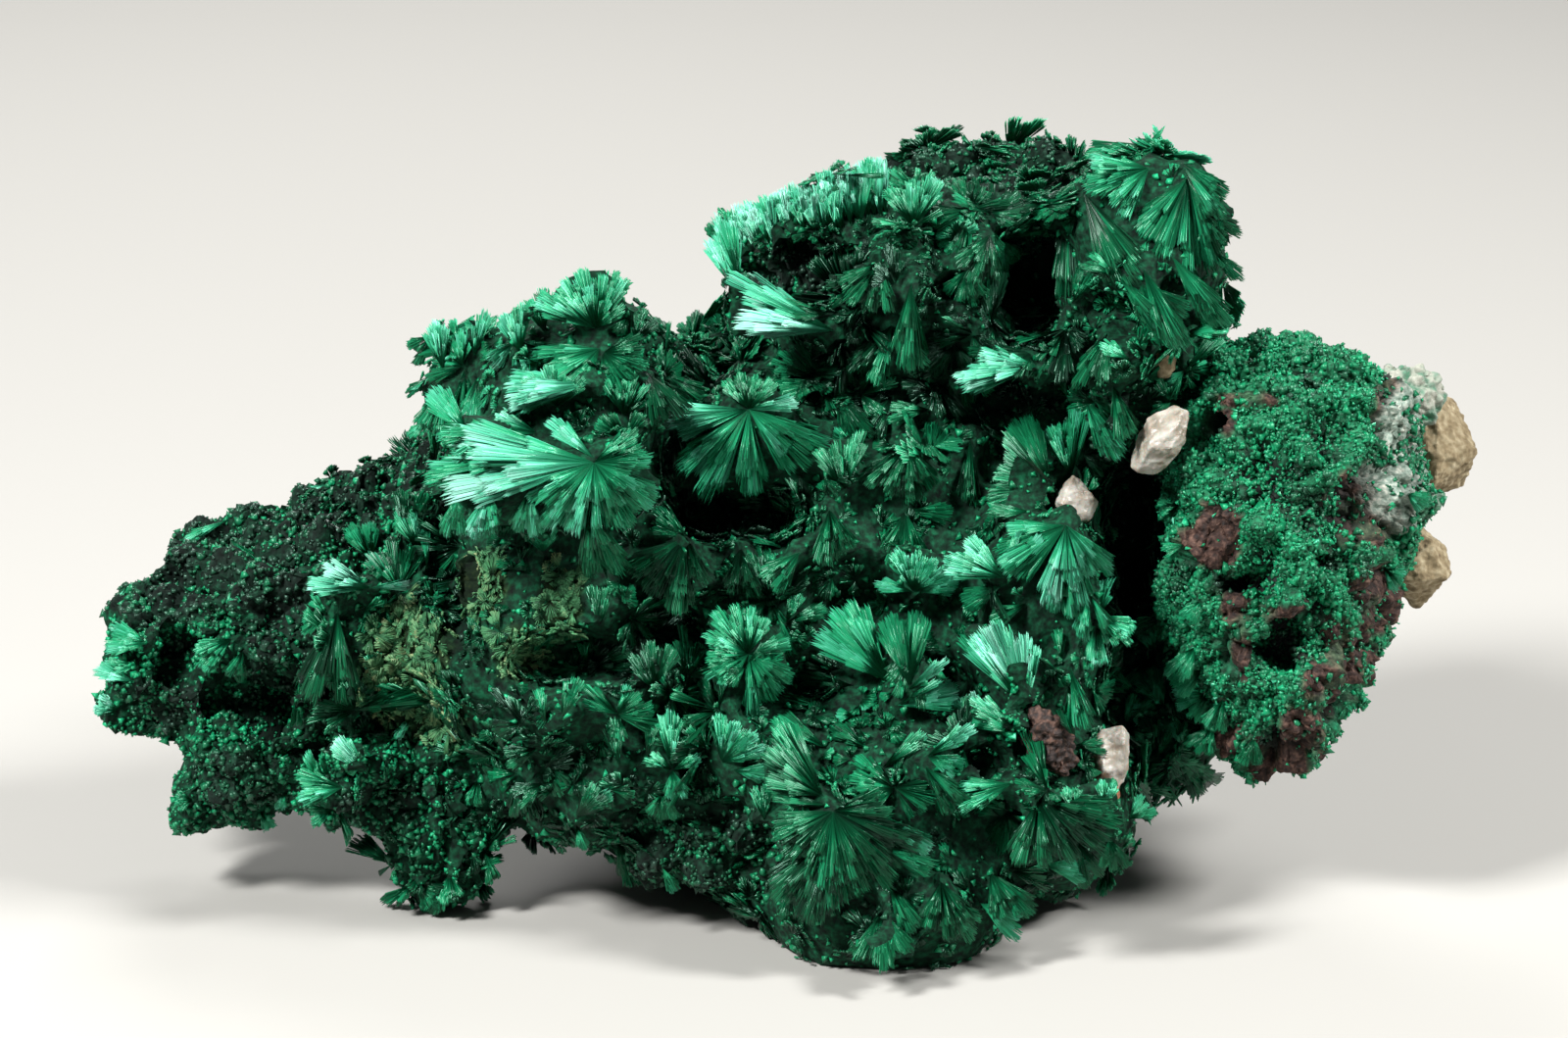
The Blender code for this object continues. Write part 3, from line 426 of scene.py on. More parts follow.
def in_view(points):
    """Across and up, as arrays, of an array of points in millimetres."""
    offset = points - SIGHT_CENTRE
    reach = (EYE_DISTANCE + offset @ FORWARD) / EYE_DISTANCE
    return offset @ RIGHT / reach, offset @ UPWARD / reach + SIGHT_UP


def unit(vectors):
    return vectors / np.linalg.norm(vectors, axis=-1, keepdims=True)


def weight_in(zones, points):
    """How far each point lies inside the zones, 0 to 1, with a soft and uneven edge."""
    across, up = in_view(points)
    best = np.zeros(len(points))
    ragged = 0.3 * mottle(points, 0.8, 41.0)
    for mid_across, mid_up, half_width, half_height, weight in zones:
        off = np.hypot((across - mid_across) / half_width, (up - mid_up) / half_height) + ragged
        best = np.maximum(best, weight * np.clip((1.25 - off) / 0.4, 0, 1))
    return best


def mottle(points, size, shift=0.0):
    """Smooth noise, about -1 to 1, at each point, with lumps about this many millimetres wide."""
    moved = points / size + shift
    return np.array([noise.noise(Vector(place)) for place in moved])


def knobs(points, size, shift=0.0):
    """Height of close-set round knobs about this wide: 0 in the sharp creases between them and about 1 on top."""
    moved = points / size + shift
    nearest = np.array([noise.voronoi(Vector(place))[0][:2] for place in moved])
    return np.sqrt(np.clip(nearest[:, 1] - nearest[:, 0], 0, 1)) * 1.15


# Colours and nodes

def linear(hex_colour):
    """An sRGB hex colour as linear red, green, blue and alpha."""
    parts = [int(hex_colour[start:start + 2], 16) / 255 for start in (1, 3, 5)]
    return (*[c / 12.92 if c <= 0.04045 else ((c + 0.055) / 1.055) ** 2.4 for c in parts], 1.0)


def feed(tree, node, inputs):
    """Gives a node's inputs their values, or the sockets or nodes that feed them."""
    for name, value in inputs.items():
        if isinstance(value, bpy.types.Node):
            value = next(socket for socket in value.outputs if socket.enabled)
        if isinstance(value, bpy.types.NodeSocket):
            tree.links.new(value, node.inputs[name])
        else:
            node.inputs[name].default_value = value


def add_node(tree, kind, inputs, stops=(), **settings):
    """One shader node with its settings, the stops of its colour ramp, and what feeds it."""
    node = tree.nodes.new(kind)
    for name, value in settings.items():
        setattr(node, name, value)
    for number, (place, colour) in enumerate(stops):
        band = node.color_ramp.elements[number] if number < 2 else node.color_ramp.elements.new(1)
        band.position = place
        band.color = linear(colour)
    feed(tree, node, inputs)
    return node


def new_material(name):
    """A material with one Principled shader, which is returned with it and its tree."""
    material = bpy.data.materials.new(name)
    material.use_nodes = True
    return material, material.node_tree, material.node_tree.nodes["Principled BSDF"]


def fibrous_malachite():
    # Grown as silky needles: a soft streak of light down each blade. Painted shade darkens each needle toward its
    # root, so it is dark green there and pale at the tip, and the palest tones are painted sheen
    material, tree, shader = new_material("malachite_grown_needles")
    tone = add_node(tree, "ShaderNodeAttribute", {}, attribute_name="tone").outputs["Fac"]
    colour = add_node(tree, "ShaderNodeValToRGB", {"Fac": tone}, stops=[
        (0.0, "#010c07"), (0.2, "#022c19"), (0.42, "#065c38"), (0.62, "#1a875b"), (0.8, "#46a685"), (1.0, "#92d0bc")])
    feed(tree, shader, {"Base Color": colour, "Roughness": 0.33, "IOR": 1.65, "Specular Tint": linear("#b2ecd2")})
    return material


def granular_malachite():
    # Grown as small stubby crystals: dull, with a glint here and there, nearly black where manganese stains it
    material, tree, shader = new_material("malachite_grown_crystals")
    tone = add_node(tree, "ShaderNodeAttribute", {}, attribute_name="tone").outputs["Fac"]
    colour = add_node(tree, "ShaderNodeValToRGB", {"Fac": tone}, stops=[
        (0.0, "#070e0b"), (0.2, "#1f3229"), (0.34, "#12442d"), (0.6, "#0a774c"), (0.8, "#22ad78"), (1.0, "#8ae8c6")])
    feed(tree, shader, {"Base Color": colour, "Roughness": 0.4, "IOR": 1.6, "Specular Tint": linear("#a9e0c6")})
    return material


def dusted_malachite():
    # Needles powdered with iron oxide dust: olive and matte, without a streak of light
    material, tree, shader = new_material("malachite_dusted_needles")
    tone = add_node(tree, "ShaderNodeAttribute", {}, attribute_name="tone").outputs["Fac"]
    colour = add_node(tree, "ShaderNodeValToRGB", {"Fac": tone}, stops=[
        (0.0, "#0a150b"), (0.3, "#164a2a"), (0.6, "#347548"), (0.85, "#5f8357"), (1.0, "#8a9468")])
    feed(tree, shader, {"Base Color": colour, "Roughness": 0.6, "IOR": 1.5})
    return material


def malachite_ground():
    # Fine grained and broken: dull and dark green, olive where dust lies, and painted near-black as shade in its
    # hollows and pits
    material, tree, shader = new_material("malachite_ground_mass")
    place = add_node(tree, "ShaderNodeTexCoord", {}).outputs["Object"]
    grit = add_node(tree, "ShaderNodeTexNoise", {"Vector": place, "Scale": 1 / (0.35 * MM), "Detail": 3})
    colour = add_node(tree, "ShaderNodeValToRGB", {"Fac": grit}, stops=[
        (0.3, "#020d08"), (0.5, "#052a1a"), (0.7, "#0a4a30")])
    for share, stops in (
            ("black", [(0.3, "#040906"), (0.55, "#0f1d17"), (0.75, "#23382e")]),
            ("dust", [(0.3, "#0a1208"), (0.55, "#1c3018"), (0.75, "#3c4a26")]),
            # The last share is painted shade: near-black in hollows and pits, where no light reaches
            ("painted_hollow_shade", [(0.0, "#010604"), (1.0, "#021009")])):
        weight = add_node(tree, "ShaderNodeAttribute", {}, attribute_name=share).outputs["Fac"]
        stain = add_node(tree, "ShaderNodeValToRGB", {"Fac": grit}, stops=stops)
        colour = add_node(tree, "ShaderNodeMix", {0: weight, 6: colour, 7: stain}, data_type="RGBA")
    relief = add_node(tree, "ShaderNodeBump", {"Height": grit, "Distance": 0.06 * MM})
    feed(tree, shader, {"Base Color": colour, "Roughness": 0.85, "Specular IOR Level": 0.15, "Normal": relief})
    return material


def crusted_matrix():
    # Limonite broken rough under a skin of tiny malachite crystals: green and dull, earthy brown where it is bare
    material, tree, shader = new_material("limonite_under_malachite")
    place = add_node(tree, "ShaderNodeTexCoord", {}).outputs["Object"]
    grit = add_node(tree, "ShaderNodeTexNoise", {"Vector": place, "Scale": 1 / (0.3 * MM), "Detail": 5})
    colour = add_node(tree, "ShaderNodeValToRGB", {"Fac": grit}, stops=[
        (0.3, "#06301e"), (0.5, "#0c5f3d"), (0.7, "#17835a")])
    for share, stops in (
            ("bare", [(0.3, "#120b08"), (0.5, "#32201a"), (0.7, "#5e463b")]),
            ("pale", [(0.3, "#46584a"), (0.5, "#78877c"), (0.7, "#aeb0a4")]),
            # The last share is painted shade: near-black in holes and hollows, where no light reaches
            ("painted_hollow_shade", [(0.0, "#010403"), (1.0, "#030a06")])):
        weight = add_node(tree, "ShaderNodeAttribute", {}, attribute_name=share).outputs["Fac"]
        stain = add_node(tree, "ShaderNodeValToRGB", {"Fac": grit}, stops=stops)
        colour = add_node(tree, "ShaderNodeMix", {0: weight, 6: colour, 7: stain}, data_type="RGBA")
    relief = add_node(tree, "ShaderNodeBump", {"Height": grit, "Distance": 0.1 * MM})
    feed(tree, shader, {"Base Color": colour, "Roughness": 0.75, "Specular IOR Level": 0.3, "Normal": relief})
    return material


def stone_material(name, lump, detail, stops, pit, pit_depth, **finish):
    """The material of a broken stone. Its colour changes over lumps this wide in millimetres, and pits this wide
    and this deep roughen it."""
    material, tree, shader = new_material(name)
    place = add_node(tree, "ShaderNodeTexCoord", {}).outputs["Object"]
    lumps = add_node(tree, "ShaderNodeTexNoise", {"Vector": place, "Scale": 1 / (lump * MM), "Detail": detail})
    colour = add_node(tree, "ShaderNodeValToRGB", {"Fac": lumps}, stops=stops)
    pits = add_node(tree, "ShaderNodeTexNoise", {"Vector": place, "Scale": 1 / (pit * MM), "Detail": 3})
    relief = add_node(tree, "ShaderNodeBump", {"Height": pits, "Distance": pit_depth * MM})
    feed(tree, shader, {"Base Color": colour, "Normal": relief})
    feed(tree, shader, {name.replace("_", " "): value for name, value in finish.items()})
    return material


def cloudy_quartz():
    # Quartz broken into grains: milky and waxy, with tan stains in its cracks
    return stone_material("quartz_broken_grain", 0.9, 4, [
        (0.25, "#5d5446"), (0.42, "#8b8376"), (0.6, "#a5a198"), (0.8, "#b8b5ad")], 0.15, 0.03,
        Roughness=0.35, IOR=1.54, Subsurface_Weight=0.3, Subsurface_Scale=0.4 * MM)


def stained_quartz():
    # Quartz under a thin skin of malachite: dull, whitish grey with green spots
    return stone_material("quartz_stained_green", 0.8, 5, [
        (0.3, "#1f6b49"), (0.42, "#5a7462"), (0.55, "#8a8d80"), (0.75, "#a9a89c")], 0.2, 0.06, Roughness=0.7)


def rusty_quartz():
    # Quartz broken thin and stained by limonite: dull orange brown, paler where it is worn through
    return stone_material("quartz_stained_brown", 0.7, 4, [
        (0.3, "#3a2115"), (0.45, "#7c4a2c"), (0.6, "#a0704d"), (0.8, "#ab9a84")], 0.2, 0.05, Roughness=0.6)


def sandy_stone():
    # Sandstone, broken: matte tan with darker and lighter sand grains
    return stone_material("sandstone_broken", 0.4, 8, [
        (0.3, "#65573f"), (0.45, "#7e6f53"), (0.6, "#93866a"), (0.75, "#a99d82")], 0.4, 0.06, Roughness=0.9)


def earthy_limonite():
    # Limonite, broken: dull dark brown with rusty edges
    return stone_material("limonite_broken", 0.3, 5, [
        (0.3, "#0d0807"), (0.5, "#2b1c16"), (0.7, "#5c4033")], 0.3, 0.1, Roughness=0.75)


# Mesh making

def select_only(obj):
    bpy.ops.object.select_all(action="DESELECT")
    obj.select_set(True)
    bpy.context.view_layer.objects.active = obj


def apply_modifier(obj, kind, **settings):
    """Adds one modifier to the object and applies it."""
    select_only(obj)
    modifier = obj.modifiers.new(kind.title(), kind)
    for name, value in settings.items():
        setattr(modifier, name, value)
    bpy.ops.object.modifier_apply(modifier=modifier.name)


def cut_off(piece, place, way):
    """Cuts the piece with a plane through this place in millimetres and keeps what lies against the way."""
    select_only(piece)
    bpy.ops.object.mode_set(mode="EDIT")
    bpy.ops.mesh.select_all(action="SELECT")
    bpy.ops.mesh.bisect(plane_co=[step * MM for step in place], plane_no=way, use_fill=True, clear_outer=True)
    bpy.ops.mesh.select_all(action="SELECT")
    bpy.ops.mesh.normals_make_consistent(inside=False)
    bpy.ops.object.mode_set(mode="OBJECT")


def copy_of(node, name, grid, smoothing, cut=None):
    """The solid model's node, or the part of it that a cut leaves, as a piece of its own, on an even grid of this
    many millimetres, its facets eased."""
    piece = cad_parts[node].copy()
    piece.data = piece.data.copy()
    piece.parent = None
    piece.name = name
    for key in list(piece.keys()):
        del piece[key]
    piece.hide_render = False
    piece.hide_viewport = False
    bpy.context.scene.collection.objects.link(piece)
    piece.hide_set(False)
    select_only(piece)
    bpy.ops.object.mode_set(mode="EDIT")
    bpy.ops.mesh.select_all(action="SELECT")
    bpy.ops.mesh.remove_doubles(threshold=0.00001)
    bpy.ops.object.mode_set(mode="OBJECT")
    if cut:
        cut_off(piece, *cut)
    apply_modifier(piece, "REMESH", mode="VOXEL", voxel_size=grid * MM)
    if smoothing:
        apply_modifier(piece, "SMOOTH", factor=0.5, iterations=smoothing)
    piece.data.materials.clear()
    return piece


def points_of(mesh):
    """Its corner points, in millimetres."""
    flat = np.empty(len(mesh.vertices) * 3, np.float32)
    mesh.vertices.foreach_get("co", flat)
    return flat.reshape(-1, 3).astype(float) / MM


def normals_of(mesh):
    flat = np.empty(len(mesh.vertices) * 3, np.float32)
    mesh.vertices.foreach_get("normal", flat)
    return flat.reshape(-1, 3).astype(float)


def move_points(mesh, points):
    mesh.vertices.foreach_set("co", (points * MM).astype(np.float32).ravel())
    mesh.update()


def paint(mesh, name, values):
    """One number at each corner point, which the material reads by name."""
    layer = mesh.attributes.new(name, "FLOAT", "POINT")
    layer.data.foreach_set("value", values.astype(np.float32))


class Skin:
    """The surface of finished pieces, in millimetres, for placing things on it. Each piece comes with the places
    across between which it counts."""

    def __init__(self, *pieces):
        points, triangles, passed = [], [], 0
        for piece, lowest, highest in pieces:
            mesh = piece.data
            mesh.calc_loop_triangles()
            corners = np.empty(len(mesh.loop_triangles) * 3, np.int32)
            mesh.loop_triangles.foreach_get("vertices", corners)
            corners = corners.reshape(-1, 3)
            points.append(points_of(mesh))
            middle = points[-1][corners, 0].mean(axis=1)
            triangles.append(corners[(middle > lowest) & (middle < highest)] + passed)
            passed += len(points[-1])
        self.points = np.concatenate(points)
        self.triangles = np.concatenate(triangles)
        a, b, c = (self.points[self.triangles[:, i]] for i in range(3))
        cross = np.cross(b - a, c - a)
        double = np.linalg.norm(cross, axis=1)
        self.areas = double / 2
        self.normals = cross / np.maximum(double, 1e-12)[:, None]
        self.tree = BVHTree.FromPolygons([Vector(p) for p in self.points], self.triangles.tolist())

    def depth(self, across, up):
        """Where the sight line first meets the surface: how far behind the middle plane."""
        start = seen_at(across, up, -60)
        hit = self.tree.ray_cast(Vector(start), Vector(unit(seen_at(across, up, 60) - start)))[0]
        return None if hit is None else float((np.array(hit) - SIGHT_CENTRE) @ FORWARD)

    def scatter(self, per_area):
        """Points at random, this many to the square millimetre, with the surface's normals there."""
        count = int(self.areas.sum() * per_area)
        picks = rng.choice(len(self.areas), count, p=self.areas / self.areas.sum())
        first, second = rng.random(count), rng.random(count)
        flip = first + second > 1
        first[flip], second[flip] = 1 - first[flip], 1 - second[flip]
        a, b, c = (self.points[self.triangles[picks, i]] for i in range(3))
        return a + first[:, None] * (b - a) + second[:, None] * (c - a), self.normals[picks]


def shape_of(crystal):
    """Its corner points and triangles as arrays. The object itself isn't kept."""
    mesh = crystal.data
    points = np.array([vert.co[:] for vert in mesh.vertices])
    faces = np.array([face.vertices[:] for face in mesh.polygons])
    bpy.data.objects.remove(crystal)
    bpy.data.meshes.remove(mesh)
    return points, faces


def model_needle():
    """One needle, a unit long and a unit in half width: three sided, from a point at its root to a slanting end."""
    bpy.ops.object.select_all(action="DESELECT")
    bpy.ops.mesh.primitive_cone_add(vertices=3, radius1=0, radius2=1, depth=1, location=(0, 0, 0.5))
    needle = bpy.context.object
    bpy.ops.object.transform_apply(location=True, rotation=True, scale=True)
    bpy.ops.object.mode_set(mode="EDIT")
    bpy.ops.mesh.select_all(action="SELECT")
    bpy.ops.mesh.quads_convert_to_tris()
    bpy.ops.mesh.normals_make_consistent(inside=False)
    bpy.ops.object.mode_set(mode="OBJECT")
    broad_end = [vert for vert in needle.data.vertices if vert.co.z > 0.5]
    for vert, height in zip(broad_end, (0.88, 0.93, 1.0)):
        vert.co.z = height
    return shape_of(needle)


def model_stub():
    """One stubby crystal, a unit long and a unit in half width: three sided and pointed at both ends."""
    bpy.ops.object.select_all(action="DESELECT")
    bpy.ops.mesh.primitive_cone_add(vertices=3, radius1=1, radius2=0, depth=0.45, end_fill_type="NOTHING",
                                    location=(0, 0, 0.775))
    stub = bpy.context.object
    bpy.ops.object.transform_apply(location=True, rotation=True, scale=True)
    bpy.ops.object.mode_set(mode="EDIT")
    bpy.ops.mesh.select_all(action="DESELECT")
    bpy.ops.mesh.select_mode(type="VERT")
    bpy.ops.mesh.select_non_manifold()
    bpy.ops.mesh.extrude_region_move(TRANSFORM_OT_translate={"value": (0, 0, -0.55)})
    bpy.ops.mesh.merge(type="CENTER")
    bpy.ops.mesh.select_all(action="SELECT")
    bpy.ops.mesh.normals_make_consistent(inside=False)
    bpy.ops.object.mode_set(mode="OBJECT")
    return shape_of(stub)


class Crop:
    """A crop of crystals waiting to be made: where each starts, its long axis with its length, its two half
    widths as vectors, and its tone."""

    def __init__(self):
        self.rows = []

    def add(self, start, along, side, face, tone):
        self.rows.append((start, along, side, face, tone))

    def joined(self):
        return [np.concatenate([row[i] for row in self.rows]) for i in range(5)]


def make_crystals(name, crop, shape, material, root_painted_shade=1.0, most=190000):
    """Stamps the crop's crystals into as many joined meshes as it takes to keep each under the most triangles given."""
    corner, faces = shape
    start, along, side, face, tone = crop.joined()
    kept = start[:, 2] > 0.1
    start, along, side, face, tone = start[kept], along[kept], side[kept], face[kept], tone[kept]
    along[:, 2] = np.maximum(start[:, 2] + along[:, 2], 0.1) - start[:, 2]
    per_piece = most // len(faces)
    pieces = []
    for first in range(0, len(start), per_piece):
        part = slice(first, first + per_piece)
        count = len(start[part])
        points = (start[part][:, None] + corner[None, :, 2, None] * along[part][:, None]
                  + corner[None, :, 0, None] * side[part][:, None] + corner[None, :, 1, None] * face[part][:, None])
        points[..., 2] = np.maximum(points[..., 2], 0)
        triangles = faces[None] + (np.arange(count) * len(corner))[:, None, None]
        # Painted shade: each crystal is darker toward its root, where the crystals crowd
        shade = tone[part][:, None] * (root_painted_shade + (1 - root_painted_shade) * corner[None, :, 2])
        mesh = bpy.data.meshes.new(f"{name}_{len(pieces) + 1}")
        mesh.vertices.add(count * len(corner))
        mesh.vertices.foreach_set("co", (points * MM).astype(np.float32).ravel())
        mesh.loops.add(count * faces.size)
        mesh.loops.foreach_set("vertex_index", triangles.astype(np.int32).ravel())
        mesh.polygons.add(count * len(faces))
        mesh.polygons.foreach_set("loop_start", np.arange(0, count * faces.size, 3, dtype=np.int32))
        mesh.update(calc_edges=True)
        paint(mesh, "tone", shade.ravel())
        mesh.materials.append(material)
        piece = bpy.data.objects.new(mesh.name, mesh)
        bpy.context.scene.collection.objects.link(piece)
        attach(piece, "root")
        pieces.append(piece)
    return pieces


def across_axes(along, roll, face=None):
    """Two unit vectors square to each long axis, turned about it by the roll in radians. Where a face is given
    and there is no roll, a crystal turns a flat side to it."""
    axis = unit(along)
    helper = face
    if face is None:
        helper = np.where(np.abs(axis[:, 2:3]) < 0.8, (0.0, 0.0, 1.0), (1.0, 0.0, 0.0))
    first = unit(np.cross(axis, helper))
    second = np.cross(axis, first)
    turn = roll[:, None]
    return first * np.cos(turn) + second * np.sin(turn), second * np.cos(turn) - first * np.sin(turn)


def grow_fan(crop, apex, axis, side, face, opening, length, tone, land, layers=3, coarse=1.0, bulge=1.0):
    """A fan of needles from one point. It has rounded petals, each of a few blades over each other, and a blade
    is a row of needles that end together. The blades are landed on what is under them."""
    petals = max(1, round(opening / PETAL_ANGLE))
    per_petal = max(2, round(opening / petals / (BLADE_ANGLE * coarse)))
    in_layer = petals * per_petal
    blades = in_layer * layers
    level = np.repeat(np.arange(layers), in_layer)
    petal = np.tile(np.repeat(np.arange(petals), per_petal), layers)
    place = np.tile(np.tile(np.linspace(-1, 1, per_petal), petals), layers)
    step = opening / in_layer
    turn = np.tile(np.linspace(-opening / 2 + step / 2, opening / 2 - step / 2, in_layer), layers)
    turn = np.radians(turn + rng.uniform(-0.4, 0.4, blades) * step)
    reach = length * rng.uniform(0.82, 1.05, petals)[petal] * (1 - 0.15 * place ** 2)
    reach = reach * np.where(level == 0, rng.uniform(0.93, 1.03, blades), rng.uniform(0.5, 1.0, blades))
    dome = bulge * (rng.uniform(0, 0.3, petals)[petal] + 0.25 * (1 - place ** 2))
    heading = axis * np.cos(turn)[:, None] + side * np.sin(turn)[:, None]
    tips = land(apex, heading, reach, 0.03 + 0.09 * level + dome * min(1.0, length / 3))
    blade_roll = rng.normal(0, 0.22, petals)[petal] + rng.normal(0, 0.22, blades)
    # The edges of each petal are painted darker, a painted shade in the gaps between petals
    blade_tone = tone + rng.normal(0, 0.06, petals)[petal] + rng.normal(0, 0.05, blades) - 0.1 * place ** 2

    half = coarse * (0.025 + 0.0045 * length)
    row = max(2, round(math.radians(step) * 1.2 * length / (1.35 * half)))
    each = np.repeat(np.arange(blades), row)
    count = len(each)
    fine = np.tile(np.linspace(-0.5, 0.5, row), blades) + rng.normal(0, 0.3 / row, count)
    fine = np.radians(fine * step * 1.3)[:, None]
    blade = tips[each] - apex
    beside = np.cross(np.broadcast_to(face, blade.shape), blade)
    ends = (blade * np.cos(fine) + beside * np.sin(fine)) * rng.uniform(0.94, 1.01, count)[:, None]
    begin = np.where(rng.random(count) < 0.4, rng.uniform(0, 0.06, count), rng.uniform(0.06, 0.6, count))[:, None]
    along = ends * (1 - begin)
    first, second = across_axes(along, blade_roll[each] + rng.normal(0, 0.4, count), face)
    width = half * rng.uniform(0.7, 1.3, count)[:, None]
    shade = np.clip(blade_tone[each] + rng.normal(0, 0.05, count), 0.02, 1)
    crop.add(apex + ends * begin, along, first * width, second * width, shade)


def land_in_sight(skin, apex, fall):
    """Lays blades on what the eye sees behind them. Where that falls away they go on at their own slope."""
    across, up = (float(value[0]) for value in in_view(apex[None]))
    root = float((apex - SIGHT_CENTRE) @ FORWARD)

    def land(_, heading, reach, gap):
        tips = np.empty((len(reach), 3))
        for index, (way, far, above) in enumerate(zip(heading, reach, gap)):
            flat_across, flat_up = float(way @ RIGHT), float(way @ UPWARD)
            place = across + flat_across * far, up + flat_up * far
            behind = root + fall * far
            under = skin.depth(*place)
            halfway = skin.depth((across + place[0]) / 2, (up + place[1]) / 2)
            if under is not None:
                behind = min(under - above, behind + 0.25 * far)
            if halfway is not None:
                behind = min(behind, 2 * (halfway - above) - root)
            tips[index] = seen_at(*place, max(behind, root - 0.9 * far))
        return tips

    return land


def land_on(skin, most):
    """Lifts the blades that would sink into the surface, and lowers those that would stand off it by more than
    the most given."""
    def land(apex, heading, reach, gap):
        tips = apex + heading * reach[:, None]
        for index, (tip, above) in enumerate(zip(tips, gap)):
            place, normal, _, _ = skin.tree.find_nearest(Vector(tip))
            place, normal = np.array(place), np.array(normal)
            height = (tip - place) @ normal
            tip = tip + normal * (np.clip(height, above, above + most) - height)
            away = np.linalg.norm(tip - place)
            tips[index] = place + (tip - place) * min(1, (above + most) / max(away, 0.001))
        return tips

    return land


def crest_fans():
    """The crest's curtain as groups of fans like the listed ones."""
    groups = []
    for share in np.linspace(0, 1, CREST_FANS):
        across, up = CREST_LEFT + (CREST_RIGHT - CREST_LEFT) * share
        heading = CREST_HEADINGS[0] + (CREST_HEADINGS[1] - CREST_HEADINGS[0]) * share + rng.normal(0, 5)
        start = CREST_START * rng.random() ** 1.5
        length = (CREST_HEIGHT - start) * rng.uniform(0.85, 1.05)
        groups.append(((across, up + start, CREST_TONE + rng.normal(0, 0.05)),
                       [(heading, CREST_OPENING, length, 0)]))
    return groups


def fan_root(skin, across, up):
    """Where a fan starts: on what the sight line meets at this place, or just inside the edge that it is past."""
    for inward in np.arange(0, 3.0, 0.3):
        place = across - math.copysign(inward / 2, across), up - inward
        depth = skin.depth(*place)
        if depth is not None:
            return seen_at(*place, depth - 0.05)
    raise ValueError(f"There is no surface for the fan at {across}, {up}")


def grow_listed_fans(crop, skin, groups, bulge=1.0):
    """The fans of a table."""
    for (across, up, tone), fans in groups:
        apex = fan_root(skin, across, up)
        for heading, opening, length, lift in fans:
            turned = math.radians(heading)
            axis = RIGHT * math.cos(turned) + UPWARD * math.sin(turned)
            side = np.cross(axis, FORWARD)
            land = land_in_sight(skin, apex, math.sin(math.radians(-lift)))
            grow_fan(crop, apex, axis, side, -FORWARD, opening, length * 1.05, tone, land, 4, 1.0, bulge)


def in_listed_fan(points):
    """Whether each point shows inside one of the listed fans."""
    across, up = in_view(points)
    inside = np.zeros(len(points), bool)
    for (mid_across, mid_up, _), fans in FANS:
        away = np.hypot(across - mid_across, up - mid_up)
        bearing = np.degrees(np.arctan2(up - mid_up, across - mid_across))
        for heading, opening, length, _ in fans:
            turn = np.abs((bearing - heading + 180) % 360 - 180)
            inside |= (away < 0.95 * length) & ((turn < opening / 2 + 8) | (away < 0.5))
    return inside


def grow_clusters(crop, skin, per_area, wanted, tone, fans=(2, 4), reach=(1.6, 3.4), coarse=1.4, layers=2):
    """Clusters of fans at random on the surface, where they are wanted: each has a few fans from one middle."""
    places, normals = skin.scatter(per_area)
    kept = rng.random(len(places)) < wanted(places, normals)
    places, normals = places[kept], normals[kept]
    for place, normal, shade in zip(places, normals, tone(places)):
        flat = unit(np.cross(normal, rng.normal(0, 1, 3)))
        side = np.cross(normal, flat)
        size = rng.uniform(0.75, 1.2)
        turn = rng.uniform(0, 2 * math.pi)
        for _ in range(rng.integers(fans[0], fans[1] + 1)):
            opening = rng.uniform(30, 70)
            tilt = math.radians(rng.uniform(0, 32))
            along = flat * math.cos(turn) + side * math.sin(turn)
            axis = along * math.cos(tilt) + normal * math.sin(tilt)
            beside = np.cross(normal, along)
            grow_fan(crop, place + normal * rng.uniform(0.02, 0.3), axis, beside, unit(np.cross(axis, beside)), opening,
                     size * rng.uniform(*reach), shade + rng.normal(0, 0.05),
                     land_on(skin, rng.uniform(0.1, 0.3) * reach[1]), layers, coarse)
            turn += math.radians(opening / 2 + rng.uniform(15, 95))


def grow_crystals(crop, skin, per_area, length, wanted, tone, stoutness=(0.35, 0.6), lean=0.7):
    """Stubby crystals at random on the surface, standing more or less upright on it."""
    places, normals = skin.scatter(per_area)
    kept = rng.random(len(places)) < wanted(places, normals)
    places, normals = places[kept], normals[kept]
    count = len(places)
    reach = (length[0] + (length[1] - length[0]) * rng.random(count) ** 2)[:, None]
    along = unit(normals + rng.normal(0, lean, (count, 3))) * reach
    first, second = across_axes(along, rng.uniform(0, 2 * math.pi, count))
    half = reach * rng.uniform(*stoutness, count)[:, None]
    crop.add(places - along * 0.42, along, first * half, second * half, np.clip(tone(places, normals), 0.02, 1))


# The pieces

def facing(normals):
    """1 where the surface faces the eye, 0 where it faces away."""
    return np.clip(0.5 - normals @ FORWARD * 1.6, 0, 1)


def granular_share(points, normals=None):
    """How granular the crust is at each point, by the table on the best face and in patches elsewhere."""
    listed = weight_in(GRANULAR, points)
    patches = np.clip(mottle(points, 7.0, 3.3) * 2.4 + 0.35, 0, 1)
    if normals is None:
        depth = (points - SIGHT_CENTRE) @ FORWARD
        front = np.clip((12 - depth) / 6, 0, 1)
    else:
        front = facing(normals)
    return listed * front + patches * (1 - front)


def black_share(points, normals):
    """How black the granular crust is at each point, by the table on the best face and in patches elsewhere. The
    tops of its clumps are the blackest, and green shows between them."""
    front = facing(normals)
    patches = np.clip(mottle(points, 5.0, 13.3) * 3 + 0.2, 0, 1) * granular_share(points, normals)
    share = weight_in(BLACK, points) * front + patches * (1 - front)
    return np.clip(share * (0.35 + 1.05 * knobs(points, 2.6)) + 0.5 * mottle(points, 1.1, 4.0) - 0.1, 0, 1)


